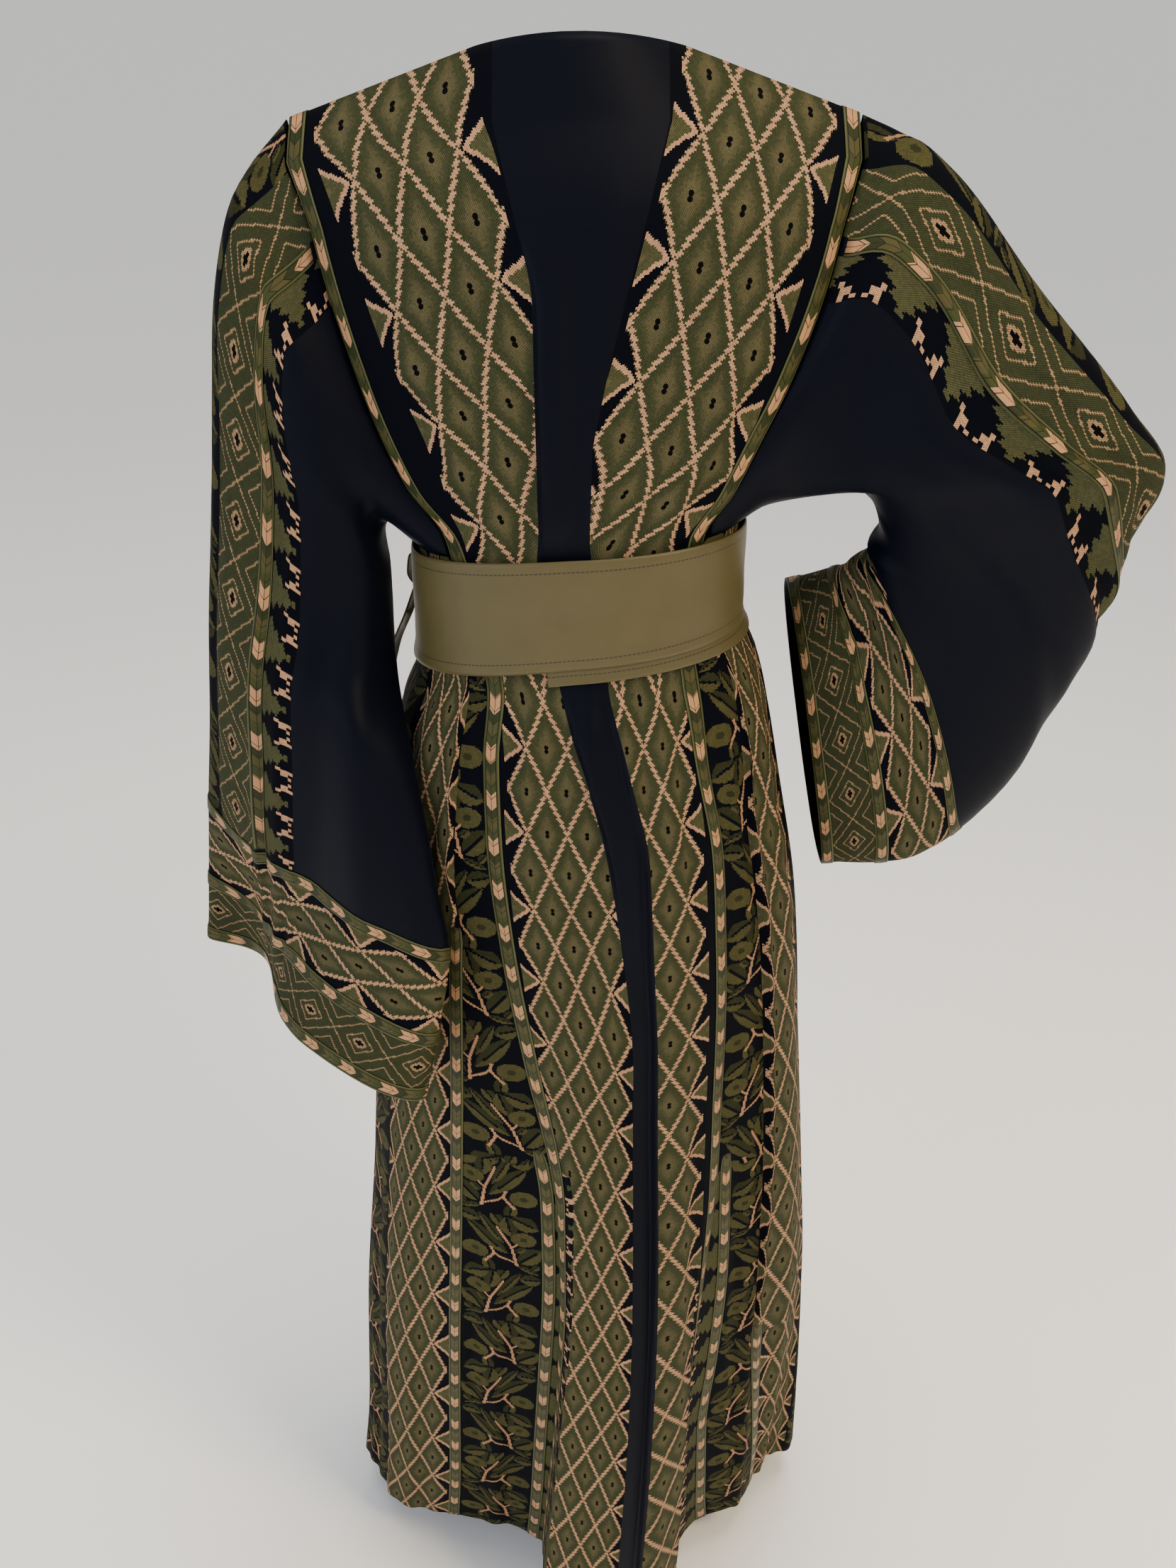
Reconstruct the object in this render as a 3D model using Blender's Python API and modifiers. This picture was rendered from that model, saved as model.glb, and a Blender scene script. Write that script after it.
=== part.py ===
"""Palestinian thobe dress on its wearer's form: cloth panels, braids and belt. Metres, +Z up.

The garment hangs from the shoulders at the origin. Its back faces -Y. Heights are given as a
drop below the back neckline, and places round the body as an angle from the centre back,
positive towards +X.
"""
import math

import bmesh
import bpy
import numpy as np

MM = 0.001
CLOTH = 1.2 * MM        # panel cloth with its embroidery
BRAID = 1.2 * MM        # raised tape on the seams
BELT = 1.4 * MM
SEAM = 0.3 * MM         # between two pieces that touch
HEM_DROP = 1.50
TOP_DROP = 0.12         # the shoulders round off above this
BRAID_WIDTH = 13 * MM

# Horizontal sections of the body: half widths, depth behind and in front of the middle.
BODY = {
    "columns": ("drop", "left", "right", "back", "front", "middle", "square"),
    "rows": (
        (0.050, 0.222, 0.212, 0.085, 0.085, 0.000, 2.4),
        (0.100, 0.208, 0.203, 0.098, 0.100, 0.000, 2.4),
        (0.160, 0.195, 0.195, 0.105, 0.115, 0.000, 2.4),
        (0.220, 0.178, 0.180, 0.107, 0.120, 0.000, 2.4),
        (0.260, 0.165, 0.165, 0.107, 0.115, 0.000, 2.4),
        (0.300, 0.148, 0.146, 0.105, 0.105, 0.000, 2.4),
        (0.335, 0.127, 0.122, 0.102, 0.098, 0.000, 2.4),
        (0.405, 0.127, 0.122, 0.102, 0.098, 0.000, 2.4),
        (0.430, 0.127, 0.133, 0.104, 0.101, 0.001, 2.4),
        (0.450, 0.131, 0.142, 0.112, 0.110, 0.003, 2.3),
        (0.500, 0.150, 0.153, 0.125, 0.140, 0.010, 2.3),
        (0.560, 0.160, 0.164, 0.135, 0.150, 0.018, 2.3),
        (0.680, 0.175, 0.186, 0.145, 0.160, 0.030, 2.3),
        (0.860, 0.196, 0.206, 0.150, 0.170, 0.050, 2.2),
        (1.020, 0.211, 0.220, 0.155, 0.175, 0.070, 2.2),
        (1.200, 0.229, 0.234, 0.150, 0.180, 0.090, 2.2),
        (1.410, 0.243, 0.247, 0.135, 0.180, 0.110, 2.2),
        (1.500, 0.254, 0.250, 0.120, 0.180, 0.120, 2.2),
    ),
}

# Where the lines on the back lie, in degrees from the centre back (left is negative): both
# sides of each seam braid, the crest of the fold beside it, and the black centre strip's edges.
BACK_LINES = {
    "columns": ("drop", "left_out", "left_in", "left_fold", "black_left", "black_right",
                "right_fold", "right_in", "right_out"),
    "rows": (
        (0.050, -64.0, -56.3, -53.0, -10.5, 12.5, 53.0, 56.0, 64.0),
        (0.105, -64.0, -57.0, -53.7, -8.0, 9.5, 52.5, 55.5, 62.5),
        (0.165, -63.0, -56.0, -52.7, -5.5, 6.0, 48.3, 51.3, 58.0),
        (0.225, -61.5, -54.4, -51.2, -6.0, 3.0, 42.9, 45.9, 52.5),
        (0.270, -59.0, -51.6, -48.4, -6.5, 1.5, 38.1, 41.1, 48.0),
        (0.310, -55.5, -47.7, -44.5, -7.5, 1.5, 35.0, 38.0, 45.5),
        (0.345, -46.5, -38.4, -35.4, -9.0, 2.0, 32.0, 34.9, 43.0),
        (0.440, -30.5, -23.4, -20.6, -3.5, 6.0, 26.7, 29.5, 36.5),
        (0.500, -27.0, -21.3, -18.7, 1.2, 10.2, 28.0, 30.5, 36.2),
        (0.585, -24.0, -18.9, -16.6, 6.5, 14.5, 31.3, 33.6, 38.8),
        (0.670, -19.3, -14.7, -12.6, 9.2, 14.5, 30.2, 32.3, 37.0),
        (0.790, -12.8, -8.9, -7.2, 11.5, 15.2, 29.7, 31.4, 35.6),
        (0.945, -5.3, -3.0, -1.4, 11.0, 14.7, 27.7, 29.1, 32.6),
        (1.050, -4.4, -2.9, -1.6, 10.4, 14.0, 24.6, 25.8, 28.4),
        (1.200, -5.0, -4.3, -3.6, 9.2, 12.4, 21.2, 22.0, 23.2),
        (1.440, -7.9, -7.5, -6.6, 6.8, 9.7, 18.7, 19.5, 20.2),
        (1.500, -8.4, -8.0, -7.1, 6.5, 9.3, 18.3, 19.2, 19.8),
    ),
}

# The two braids that lie on each side panel, seen from behind, and the fold at the third one.
SIDE_LINES = {
    "columns": ("drop", "left_leaf", "left_side", "right_leaf", "right_side"),
    "rows": (
        (0.335, -50.0, -57.0, 47.0, 60.0),
        (0.440, -33.5, -39.5, 40.0, 53.5),
        (0.500, -30.0, -36.5, 39.8, 54.0),
        (0.585, -27.0, -36.3, 42.3, 51.5),
        (0.670, -22.5, -33.4, 40.6, 51.5),
        (0.790, -16.0, -32.6, 39.2, 51.8),
        (0.945, -7.3, -32.2, 35.6, 51.0),
        (1.050, -6.8, -32.2, 34.6, 49.0),
        (1.200, -7.9, -32.2, 31.0, 47.0),
        (1.300, -8.9, -32.5, 28.0, 48.5),
        (1.440, -10.2, -32.9, 28.6, 51.2),
        (1.500, -10.8, -33.0, 29.5, 52.3),
    ),
}
FRONT_TURN = 180.0      # the front's lines mirror these, in degrees each side of centre front
FRONT_LINES = {
    "columns": ("drop", "out", "in", "black", "leaf", "side"),
    "rows": (
        (0.050, 64.0, 55.7, 12.0, 70.0, 80.0),
        (0.165, 60.5, 54.0, 10.0, 67.0, 77.0),
        (0.270, 53.5, 46.5, 7.5, 60.0, 72.0),
        (0.345, 44.5, 36.1, 6.0, 49.0, 60.0),
        (0.440, 34.0, 27.1, 6.5, 38.0, 50.0),
        (0.670, 32.0, 27.0, 8.0, 36.5, 49.0),
        (1.050, 30.0, 25.8, 8.5, 35.5, 53.0),
        (1.500, 29.5, 25.7, 9.0, 36.5, 56.0),
    ),
}

# Broad flutes of the skirt: angle at the waist and at the hem, half width, how far they stand
# out at the hem, and the drop where they start.
FLUTES = {
    "columns": ("waist_angle", "hem_angle", "half_width", "out", "start"),
    "rows": (
        (8, 6, 25, 0.050, 0.55),
        (-50, -48, 17, 0.012, 0.60),
        (64, 66, 16, 0.012, 0.50),
        (66, 66, 28, -0.040, 1.12),
        (122, 124, 17, 0.020, 0.55),
        (150, 152, 15, -0.012, 0.60),
        (180, 182, 20, 0.030, 0.50),
        (-150, -151, 14, -0.014, 0.60),
        (-120, -123, 18, 0.022, 0.55),
    ),
}

# Laps, where one strip of cloth stands over the next and hides part of it. Each runs beside
# one line, is raised on the side that "raised" gives, and falls back over "reach" metres.
LAPS = (
    {"name": "black strip over the left diamonds", "line": "black_left", "raised": 1, "reach": 0.06,
     "columns": ("drop", "height"),
     "rows": ((0.12, 0), (0.20, .006), (0.31, .007), (0.345, 0), (0.448, 0), (0.48, .006),
              (0.56, .006), (0.67, 0))},
    {"name": "right diamonds over the black strip", "line": "black_right", "raised": 1, "reach": 0.07,
     "columns": ("drop", "height"),
     "rows": ((0.448, 0), (0.48, .003), (0.60, .009), (0.80, .012), (1.20, .014), (1.50, .016))},
    {"name": "centre flute over the left seam", "line": "left_fold", "raised": 1, "reach": 0.15,
     "columns": ("drop", "height"),
     "rows": ((0.448, 0), (0.48, .003), (0.82, .004), (0.94, .010), (1.05, .020), (1.20, .036),
              (1.41, .060), (1.50, .072))},
    {"name": "centre flute over the right seam", "line": "right_fold", "raised": -1, "reach": 0.12,
     "columns": ("drop", "height"),
     "rows": ((0.448, 0), (0.48, .003), (0.90, .004), (1.05, .008), (1.20, .016), (1.41, .026),
              (1.50, .030))},
    {"name": "left side diamonds over the leaf strip", "line": "left_side", "raised": -1, "reach": 0.06,
     "columns": ("drop", "height"),
     "rows": ((0.448, 0), (0.48, .005), (0.58, .006), (0.70, 0))},
    {"name": "right side diamonds over the leaf strip", "line": "right_side", "raised": 1, "reach": 0.07,
     "columns": ("drop", "height"),
     "rows": ((0.448, 0), (0.49, .006), (0.70, .010), (0.95, .010), (1.18, .004), (1.30, 0))},
)
LAP_STEP = 0.005        # a lap's step on the black strip; elsewhere it reaches to the seam

# Above these drops a side braid runs inside a fold, so its place is narrow and it isn't built.
BRAID_START = {"left_leaf": .90, "right_leaf": .93, "left_side": .67, "right_side": 1.19,
               "front_leaf": .85, "front_side": .66}
HIDDEN_SHARE = 0.35


# ---- Reading the tables ---------------------------------------------------------------------

def smooth_at(x, xs, ys):
    """A curve through the points (xs, ys) that doesn't overshoot, read at x."""
    x, xs, ys = (np.asarray(v, float) for v in (x, xs, ys))
    gaps = np.diff(xs)
    slopes = np.diff(ys) / gaps
    ends = np.concatenate([slopes[:1], np.zeros(len(xs) - 2), slopes[-1:]])
    for i in range(1, len(xs) - 1):
        before, after = slopes[i - 1], slopes[i]
        if before * after > 0:
            ends[i] = 2 * before * after / (before + after)
    i = np.clip(np.searchsorted(xs, x) - 1, 0, len(xs) - 2)
    t = np.clip((x - xs[i]) / gaps[i], 0, 1)
    flat = ys[i] * (2 * t**3 - 3 * t**2 + 1) + ys[i + 1] * (3 * t**2 - 2 * t**3)
    return flat + gaps[i] * (ends[i] * (t**3 - 2 * t**2 + t) + ends[i + 1] * (t**3 - t**2))


def read(table, name, drop):
    rows = np.array(table["rows"], float)
    return smooth_at(drop, rows[:, 0], rows[:, table["columns"].index(name)])


def line_angle(name, drop):
    """A line's angle in radians; a front line is given as front_left_in and the like."""
    if name.startswith("front_"):
        _, side, line = name.split("_")
        turn = FRONT_TURN - read(FRONT_LINES, line, drop)
        return np.radians(turn if side == "right" else -turn)
    table = BACK_LINES if name in BACK_LINES["columns"] else SIDE_LINES
    return np.radians(read(table, name, drop))


# ---- The body's surface ---------------------------------------------------------------------

def section_shape(angle, drop):
    """The plain section, before flutes and laps: its point and its outward direction."""
    angle, drop = np.broadcast_arrays(np.asarray(angle, float), np.asarray(drop, float))
    s, c = np.sin(angle), np.cos(angle)
    half = np.where(s >= 0, read(BODY, "right", drop), read(BODY, "left", drop))
    deep = np.where(c >= 0, read(BODY, "back", drop), read(BODY, "front", drop))
    square = read(BODY, "square", drop)
    x = np.sign(s) * half * np.abs(s)**(2 / square)
    y = -np.sign(c) * deep * np.abs(c)**(2 / square)
    nx = np.sign(x) * np.abs(x / half)**(square - 1) / half
    ny = np.sign(y) * np.abs(y / deep)**(square - 1) / deep
    length = np.hypot(nx, ny)
    return x, y, nx / length, ny / length


def radius(angle, drop):
    """How far one radian round the plain section is, in metres."""
    near = math.radians(3)
    x0, y0, _, _ = section_shape(angle - near, drop)
    x1, y1, _, _ = section_shape(angle + near, drop)
    return np.hypot(x1 - x0, y1 - y0) / (2 * near)


def wrapped(angle):
    return (angle + math.pi) % (2 * math.pi) - math.pi


def flutes(angle, drop):
    out = 0.0
    for waist, hem, half_width, height, start in FLUTES["rows"]:
        fall = np.clip((drop - start) / (HEM_DROP - start), 0, 1)
        middle = np.radians(waist + (hem - waist) * fall)
        across = np.clip(wrapped(angle - middle) / math.radians(half_width), -1, 1)
        out = out + height * fall**1.3 * np.cos(across * math.pi / 2)**2
    return out


def tape_half(line, drop):
    """Half the width kept for a braid on a side panel."""
    start = BRAID_START["front_" + line.split("_")[-1] if line.startswith("front") else line]
    return BRAID_WIDTH / 2 * np.clip(1 + (drop - start) / 0.06, HIDDEN_SHARE, 1)


def lap_step(line, drop):
    if line.startswith("black"):
        return LAP_STEP
    if line.endswith("_side"):
        return tape_half(line, drop)
    outer, inner = line_angle(line.replace("_fold", "_out"), drop), line_angle(line, drop)
    return np.abs(outer - inner) * radius(outer, drop)


def laps(angle, drop):
    out = 0.0
    for lap in LAPS:
        height = read(lap, "height", drop)
        away = wrapped(angle - line_angle(lap["line"], drop)) * lap["raised"] * radius(angle, drop)
        rise = np.clip(1 + away / lap_step(lap["line"], drop), 0, 1)
        fade = np.cos(np.clip(away / lap["reach"], 0, 1) * math.pi / 2)**2
        out = out + height * np.where(away < 0, rise * rise * (3 - 2 * rise), fade)
    return out


def ring_point(angle, drop, lift=0.0):
    """A point of the body below the shoulders, moved out by lift."""
    x, y, nx, ny = section_shape(angle, drop)
    out = flutes(angle, drop) + laps(angle, drop) + lift
    y = read(BODY, "middle", drop) + y + ny * out
    return np.stack(np.broadcast_arrays(x + nx * out, y, -drop), -1)


NECK_HALF = 0.071       # half the width of the neck opening at the shoulders
NECK_SIDE_Y = -0.020
NECK_BACK_Y = -0.050
NECK_FRONT_Y = 0.070
NECK_DROP = 0.009       # how far the neck's sides lie below its back
FRONT_NECK_DROP = 0.095
SHOULDER_SLOPE = 0.345
SHOULDER_X = 0.203
SHOULDER_GAP = 2.4 * MM


def shoulder_edge(x, front):
    """The top edge of the back or front panel: neckline, then shoulder seam."""
    across = np.clip(np.abs(x) / NECK_HALF, 0, 1)
    dip = 1 - across**2
    beyond = np.clip(np.abs(x) - NECK_HALF, 0, None)
    seam_y = NECK_SIDE_Y * (1 - np.clip(beyond / (SHOULDER_X - NECK_HALF), 0, 1))
    middle_y = NECK_FRONT_Y if front else NECK_BACK_Y
    middle_drop = FRONT_NECK_DROP if front else 0.0
    gap = SHOULDER_GAP / 2 * (1 if front else -1)
    y = seam_y + (middle_y - NECK_SIDE_Y) * dip + gap
    drop = NECK_DROP + SHOULDER_SLOPE * beyond + (middle_drop - NECK_DROP) * dip
    return y, -drop


def body_point(angle, drop):
    """A point of the back or front panel; above TOP_DROP it rounds up to the shoulder edge."""
    angle, drop = np.broadcast_arrays(np.asarray(angle, float), np.asarray(drop, float))
    full = ring_point(angle, np.maximum(drop, 0.05))
    back_y, back_z = shoulder_edge(full[..., 0], False)
    front_y, front_z = shoulder_edge(full[..., 0], True)
    front = np.cos(angle) < 0
    edge_y, edge_z = np.where(front, front_y, back_y), np.where(front, front_z, back_z)
    down = np.clip(drop / TOP_DROP, 0, 1)
    y = edge_y + (full[..., 1] - edge_y) * np.sin(down * math.pi / 2)
    z = np.where(drop < TOP_DROP, edge_z + (-TOP_DROP - edge_z) * down, -drop)
    return np.stack([full[..., 0], y, z], -1)


# ---- Turning grids of points into solids ----------------------------------------------------

def offsets(grid, closed=False):
    """What to add to each point to move the faces out by one metre.

    The grid's rows run down and its columns run towards +angle; each point moves along the
    mean of its faces' normals, further where they bend, so that the faces stay parallel.
    """
    wide = np.concatenate([grid, grid[:, :1]], 1) if closed else grid
    faces = np.cross(wide[1:, :-1] - wide[:-1, 1:], wide[1:, 1:] - wide[:-1, :-1])
    faces = faces / np.linalg.norm(faces, axis=-1, keepdims=True)
    faces = np.concatenate([faces[:1], faces, faces[-1:]], 0)
    if closed:
        faces = np.concatenate([faces[:, -1:], faces], 1)
    else:
        faces = np.concatenate([faces[:, :1], faces, faces[:, -1:]], 1)
    near = np.stack([faces[:-1, :-1], faces[1:, :-1], faces[:-1, 1:], faces[1:, 1:]])
    mean = near.sum(0)
    mean = mean / np.linalg.norm(mean, axis=-1, keepdims=True)
    return mean / np.clip((near * mean).sum(-1).mean(0), 0.5, 1)[..., None]


def material(name, colour, roughness, metallic=0.0):
    made = bpy.data.materials.new(name)
    made.use_nodes = True
    shader = made.node_tree.nodes["Principled BSDF"]
    shader.inputs["Base Color"].default_value = (*colour, 1.0)
    shader.inputs["Roughness"].default_value = roughness
    shader.inputs["Metallic"].default_value = metallic
    made.diffuse_color = (*colour, 1.0)
    return made


def shell(name, grid, thickness, slot, closed=False):
    """A wall whose outer face is the grid and which is thickened inwards."""
    rows, columns = grid.shape[:2]
    mesh = bmesh.new()
    bmesh.ops.create_grid(mesh, x_segments=columns - 1 + closed, y_segments=rows - 1, size=1)
    for vertex in mesh.verts:
        column = round((vertex.co.x + 1) / 2 * (columns - 1 + closed)) % columns
        row = round((1 - vertex.co.y) / 2 * (rows - 1))
        vertex.co = grid[row, column]
    if closed:
        bmesh.ops.remove_doubles(mesh, verts=mesh.verts, dist=1e-6)
    data = bpy.data.meshes.new(name)
    mesh.to_mesh(data)
    mesh.free()
    made = bpy.data.objects.new(name, data)
    made.data.materials.append(slot)
    bpy.context.scene.collection.objects.link(made)
    wall = made.modifiers.new("wall", "SOLIDIFY")
    wall.thickness = thickness
    wall.offset = -1
    wall.use_even_offset = True
    return made


def strip_on(name, grid, columns, slot, lift=SEAM, rows=slice(None), closed=False):
    """A tape made from a panel's own points, moved out."""
    out = grid + offsets(grid, closed) * (lift + BRAID)
    return shell(name, out[rows, columns], BRAID, slot)


def between(lines, counts):
    """Columns from one line to the next, with counts[i] equal steps in gap i."""
    columns = [lines[0]]
    for start, end, count in zip(lines, lines[1:], counts):
        columns += [start + (end - start) * k / count for k in range(1, count + 1)]
    return np.stack(columns, -1)


def seam_shift(line, drop, side):
    """A line moved half a seam along the body, so that the panels don't touch."""
    angle = line_angle(line, drop)
    return angle + side * SEAM / 2 / radius(angle, drop)


# ---- Belt -----------------------------------------------------------------------------------

WRAP_LIFT = SEAM + BRAID + 5 * SEAM     # the wrap clears the seam braids under it
BELT_LIFT = WRAP_LIFT + BELT + 2 * SEAM
WRAP_OVERLAP = 0.030
WRAP_SHOWS = 0.011
WRAP_STEPS = (-1, 18)   # belt columns that the wrap spans, from its mitred end behind
BELT_COLUMNS = 44


def belt_top(angle):
    """The belt sits lower on the left."""
    return 0.3475 - 0.0100 * np.sin(angle) - 0.0060 * np.cos(angle)


def belt_bottom(angle):
    return 0.4300 - 0.0170 * np.sin(angle) - 0.0040 * np.cos(angle)


def armhole_drop(angle):
    """The underarm: the sleeves end just above the belt."""
    return belt_top(angle) - 1.5 * MM


def build_belt(slot):
    step = 2 * math.pi / BELT_COLUMNS
    angle = np.arange(BELT_COLUMNS) * step
    down = np.linspace(0, 1, 5)[:, None]
    drop = belt_top(angle) + (belt_bottom(angle) - belt_top(angle)) * down
    shell("belt", ring_point(angle, drop, BELT_LIFT + BELT), BELT, slot, closed=True)

    angle = np.arange(WRAP_STEPS[0], WRAP_STEPS[1] + 1) * step
    top = belt_bottom(angle) - WRAP_OVERLAP
    bottom = belt_bottom(angle) + WRAP_SHOWS
    down = np.linspace(0, 1, 6)[:, None]
    shell("belt_wrap", ring_point(angle, top + (bottom - top) * down, WRAP_LIFT + BELT), BELT, slot)


# ---- Panels ---------------------------------------------------------------------------------

TORSO_DROPS = (0, .010, .026, .048, .075, .10, .12, .15, .18, .21, .24, .27, .30, .322, .335)
SKIRT_DROPS = (.345, .362, .38, .405, .43, .445, .465, .50, .54, .585, .63, .67, .73, .79, .86, .945,
               1.02, 1.10, 1.20, 1.28, 1.36, 1.44, HEM_DROP)
BODY_DROPS = np.array(TORSO_DROPS + SKIRT_DROPS)
SIDE_DROPS = np.array(SKIRT_DROPS)


def lap_low(line, drop):
    """The foot of a lap's step."""
    lap = next(row for row in LAPS if row["line"] == line)
    angle = line_angle(line, drop)
    return angle - lap["raised"] * lap_step(line, drop) / radius(angle, drop)


def back_grid(drops):
    lines = [seam_shift("left_out", drops, 1), line_angle("left_in", drops),
             line_angle("left_fold", drops), lap_low("black_left", drops),
             line_angle("black_left", drops), lap_low("black_right", drops),
             line_angle("black_right", drops), line_angle("right_fold", drops),
             line_angle("right_in", drops), seam_shift("right_out", drops, -1)]
    return body_point(between(lines, (2, 1, 4, 1, 2, 1, 4, 1, 2)), drops[:, None])


WAIST_SEAM = 0.3925     # joins the front's bodice and skirt, under the belt


def front_grid(drops):
    around = 2 * math.pi
    lines = [seam_shift("front_right_out", drops, 1), line_angle("front_right_in", drops),
             line_angle("front_right_black", drops), around + line_angle("front_left_black", drops),
             around + line_angle("front_left_in", drops),
             around + seam_shift("front_left_out", drops, -1)]
    return body_point(between(lines, (2, 4, 4, 4, 2)), drops[:, None])


SIDE_COUNTS = (1, 1, 3, 1, 1, 6, 1, 3, 1, 1)
BACK_LEAF, BACK_SIDE, FRONT_SIDE, FRONT_LEAF = (1, 3), (5, 8), (13, 15), (17, 19)   # braid columns


def side_angles(side, drops):
    """The columns of a side panel, from its back seam round to its front seam."""
    sign = 1 if side == "right" else -1

    def edges(line):
        angle = line_angle(line, drops)
        reach = sign * tape_half(line, drops) / radius(angle, drops)
        return [angle - reach, angle + reach]

    back_leaf, back_side = edges(side + "_leaf"), edges(side + "_side")
    front_side, front_leaf = edges(f"front_{side}_side"), edges(f"front_{side}_leaf")
    lines = [seam_shift(side + "_out", drops, sign), *back_leaf, back_side[0],
             line_angle(side + "_side", drops), back_side[1], *front_side, *front_leaf,
             seam_shift(f"front_{side}_out", drops, -sign)]
    return between(lines, SIDE_COUNTS)


def side_grid(side, drops):
    """A side panel; its top row follows the underarm and its columns run towards +angle."""
    angles = side_angles(side, drops)
    drop = np.broadcast_to(drops[:, None], angles.shape).copy()
    for _ in range(3):
        drop[0] = armhole_drop(angles[0]) + SEAM
        angles[0] = side_angles(side, drop[0]).diagonal()
    grid = body_point(angles, drop)
    return grid if side == "right" else grid[:, ::-1]


def side_columns(side, columns, count=sum(SIDE_COUNTS) + 1):
    first, last = columns
    return slice(first, last) if side == "right" else slice(count - last, count - first)


# ---- Sleeves --------------------------------------------------------------------------------

# Each row is a section across the sleeve: its outer end, its inner end, how deep it bulges
# behind and in front of the line between them, how far the cloth has turned, in degrees, and
# how deep a fold runs behind it, near its outer end.
SLEEVE_COLUMNS = ("outer", "inner", "back", "front", "turn", "fold")
SLEEVES = {
    "left": (
        ((-0.243, 0.000, -0.099), (-0.148, -0.014, -0.338), 0.064, 0.062, 0, 0),
        ((-0.266, 0.000, -0.175), (-0.153, -0.026, -0.352), 0.062, 0.062, 0, 0),
        ((-0.273, 0.000, -0.234), (-0.150, -0.030, -0.372), 0.058, 0.062, 0, 0),
        ((-0.280, 0.005, -0.293), (-0.149, -0.034, -0.417), 0.056, 0.052, 0, 0),
        ((-0.287, 0.010, -0.352), (-0.146, -0.046, -0.457), 0.054, 0.044, 0, 0),
        ((-0.295, 0.015, -0.422), (-0.134, -0.084, -0.502), 0.048, 0.034, 0, 0),
        ((-0.306, 0.020, -0.513), (-0.124, -0.101, -0.552), 0.042, 0.026, 0, 0),
        ((-0.318, 0.025, -0.589), (-0.115, -0.113, -0.610), 0.038, 0.020, 0, 0.004),
        ((-0.328, 0.030, -0.664), (-0.107, -0.122, -0.668), 0.036, 0.018, 0, 0.018),
        ((-0.334, 0.030, -0.736), (-0.132, -0.126, -0.806), 0.044, 0.022, 0, 0.048),
    ),
    "right": (
        ((0.229, 0.000, -0.066), (0.140, -0.020, -0.324), 0.064, 0.060, 0, 0),
        ((0.264, 0.000, -0.090), (0.166, -0.030, -0.316), 0.060, 0.060, 0, 0),
        ((0.323, -0.020, -0.161), (0.196, -0.045, -0.308), 0.056, 0.058, 0, 0),
        ((0.398, -0.040, -0.244), (0.208, -0.050, -0.305), 0.050, 0.055, 10, 0),
        ((0.432, -0.040, -0.291), (0.221, -0.040, -0.321), 0.048, 0.055, 25, 0),
        ((0.422, -0.030, -0.341), (0.228, -0.028, -0.344), 0.048, 0.055, 50, 0),
        ((0.409, -0.020, -0.416), (0.225, -0.011, -0.364), 0.048, 0.055, 85, 0),
        ((0.385, -0.010, -0.506), (0.213, 0.005, -0.381), 0.048, 0.055, 115, 0),
        ((0.350, 0.000, -0.583), (0.200, 0.020, -0.390), 0.048, 0.055, 140, 0),
        ((0.285, 0.010, -0.647), (0.185, 0.035, -0.400), 0.050, 0.058, 165, 0),
        ((0.213, 0.040, -0.668), (0.170, 0.050, -0.410), 0.050, 0.060, 180, 0),
    ),
}
SLEEVE_SQUARE = 2.3
FOLD_MIDDLE = math.radians(57)
FOLD_HALF_WIDTH = math.radians(42)
AROUND = 96             # points round a worked-out section
ALONG = 81              # worked-out sections down a sleeve
ARMHOLE_GAP = 1.2 * MM

# Distances across the sleeve from its top line, and along it from the cuff's edge.
SLEEVE_BANDS = (0, .0225, .045, .070, .095, .108, .140)
LONG_BRAID = (4, 6)     # the columns of SLEEVE_BANDS under the long braid
UNDER_STEPS = 4
CUFF_BANDS = (0, .013, .055, .068, .135, .148)
CUFF_BRAIDS = {"edge": (0, 1), "middle": (2, 3), "inner": (4, 5)}
UPPER_STEPS = 10
SLEEVE_LIFT = 3 * SEAM  # under a sleeve's braids
BEND_LIFT = 5 * SEAM    # under the right cuff's inner braid, where the sleeve bends most


def even(points, count, closed=False):
    """The same curve with its points spaced evenly."""
    if closed:
        points = np.concatenate([points, points[:1]])
    along = lengths(points)
    at = np.linspace(0, along[-1], count + closed)[:count]
    return np.stack([np.interp(at, along, points[:, k]) for k in range(3)], -1)


def lengths(points):
    steps = np.linalg.norm(np.diff(points, axis=0), axis=1)
    return np.concatenate([[0], np.cumsum(steps)])


def armhole(side):
    """The sleeve's seam: down the back panel's edge, under the arm, and up the front's."""
    sign = 1 if side == "right" else -1

    def edge(line):
        """Down one panel's edge to the underarm, moved clear of the panel."""
        drops = np.linspace(0, 0.345, 40)
        for _ in range(2):
            end = armhole_drop(line_angle(line, drops[-1]))
            drops = np.linspace(0, end, 40)
        away = sign if not line.startswith("front") else -sign
        angle = line_angle(line, drops)
        gap = ARMHOLE_GAP * (1 + 2 * np.clip(1 - drops / (2 * TOP_DROP), 0, 1))
        return angle + away * gap / radius(angle, drops), drops

    back, back_drops = edge(side + "_out")
    front, front_drops = edge(f"front_{side}_out")
    under = np.linspace(back[-1], front[-1], 21)[1:-1]
    back_line = body_point(back, back_drops)
    front_line = body_point(front, front_drops)[::-1]
    under_line = body_point(under, armhole_drop(under))
    half = len(under) // 2
    first = even(np.concatenate([back_line, under_line[:half + 1]]), AROUND // 2 + 1)
    second = even(np.concatenate([under_line[half:], front_line]), AROUND // 2 + 1)
    top = (first[0] + second[-1]) / 2
    return np.concatenate([[top], first[1:], second[1:-1]])


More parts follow.
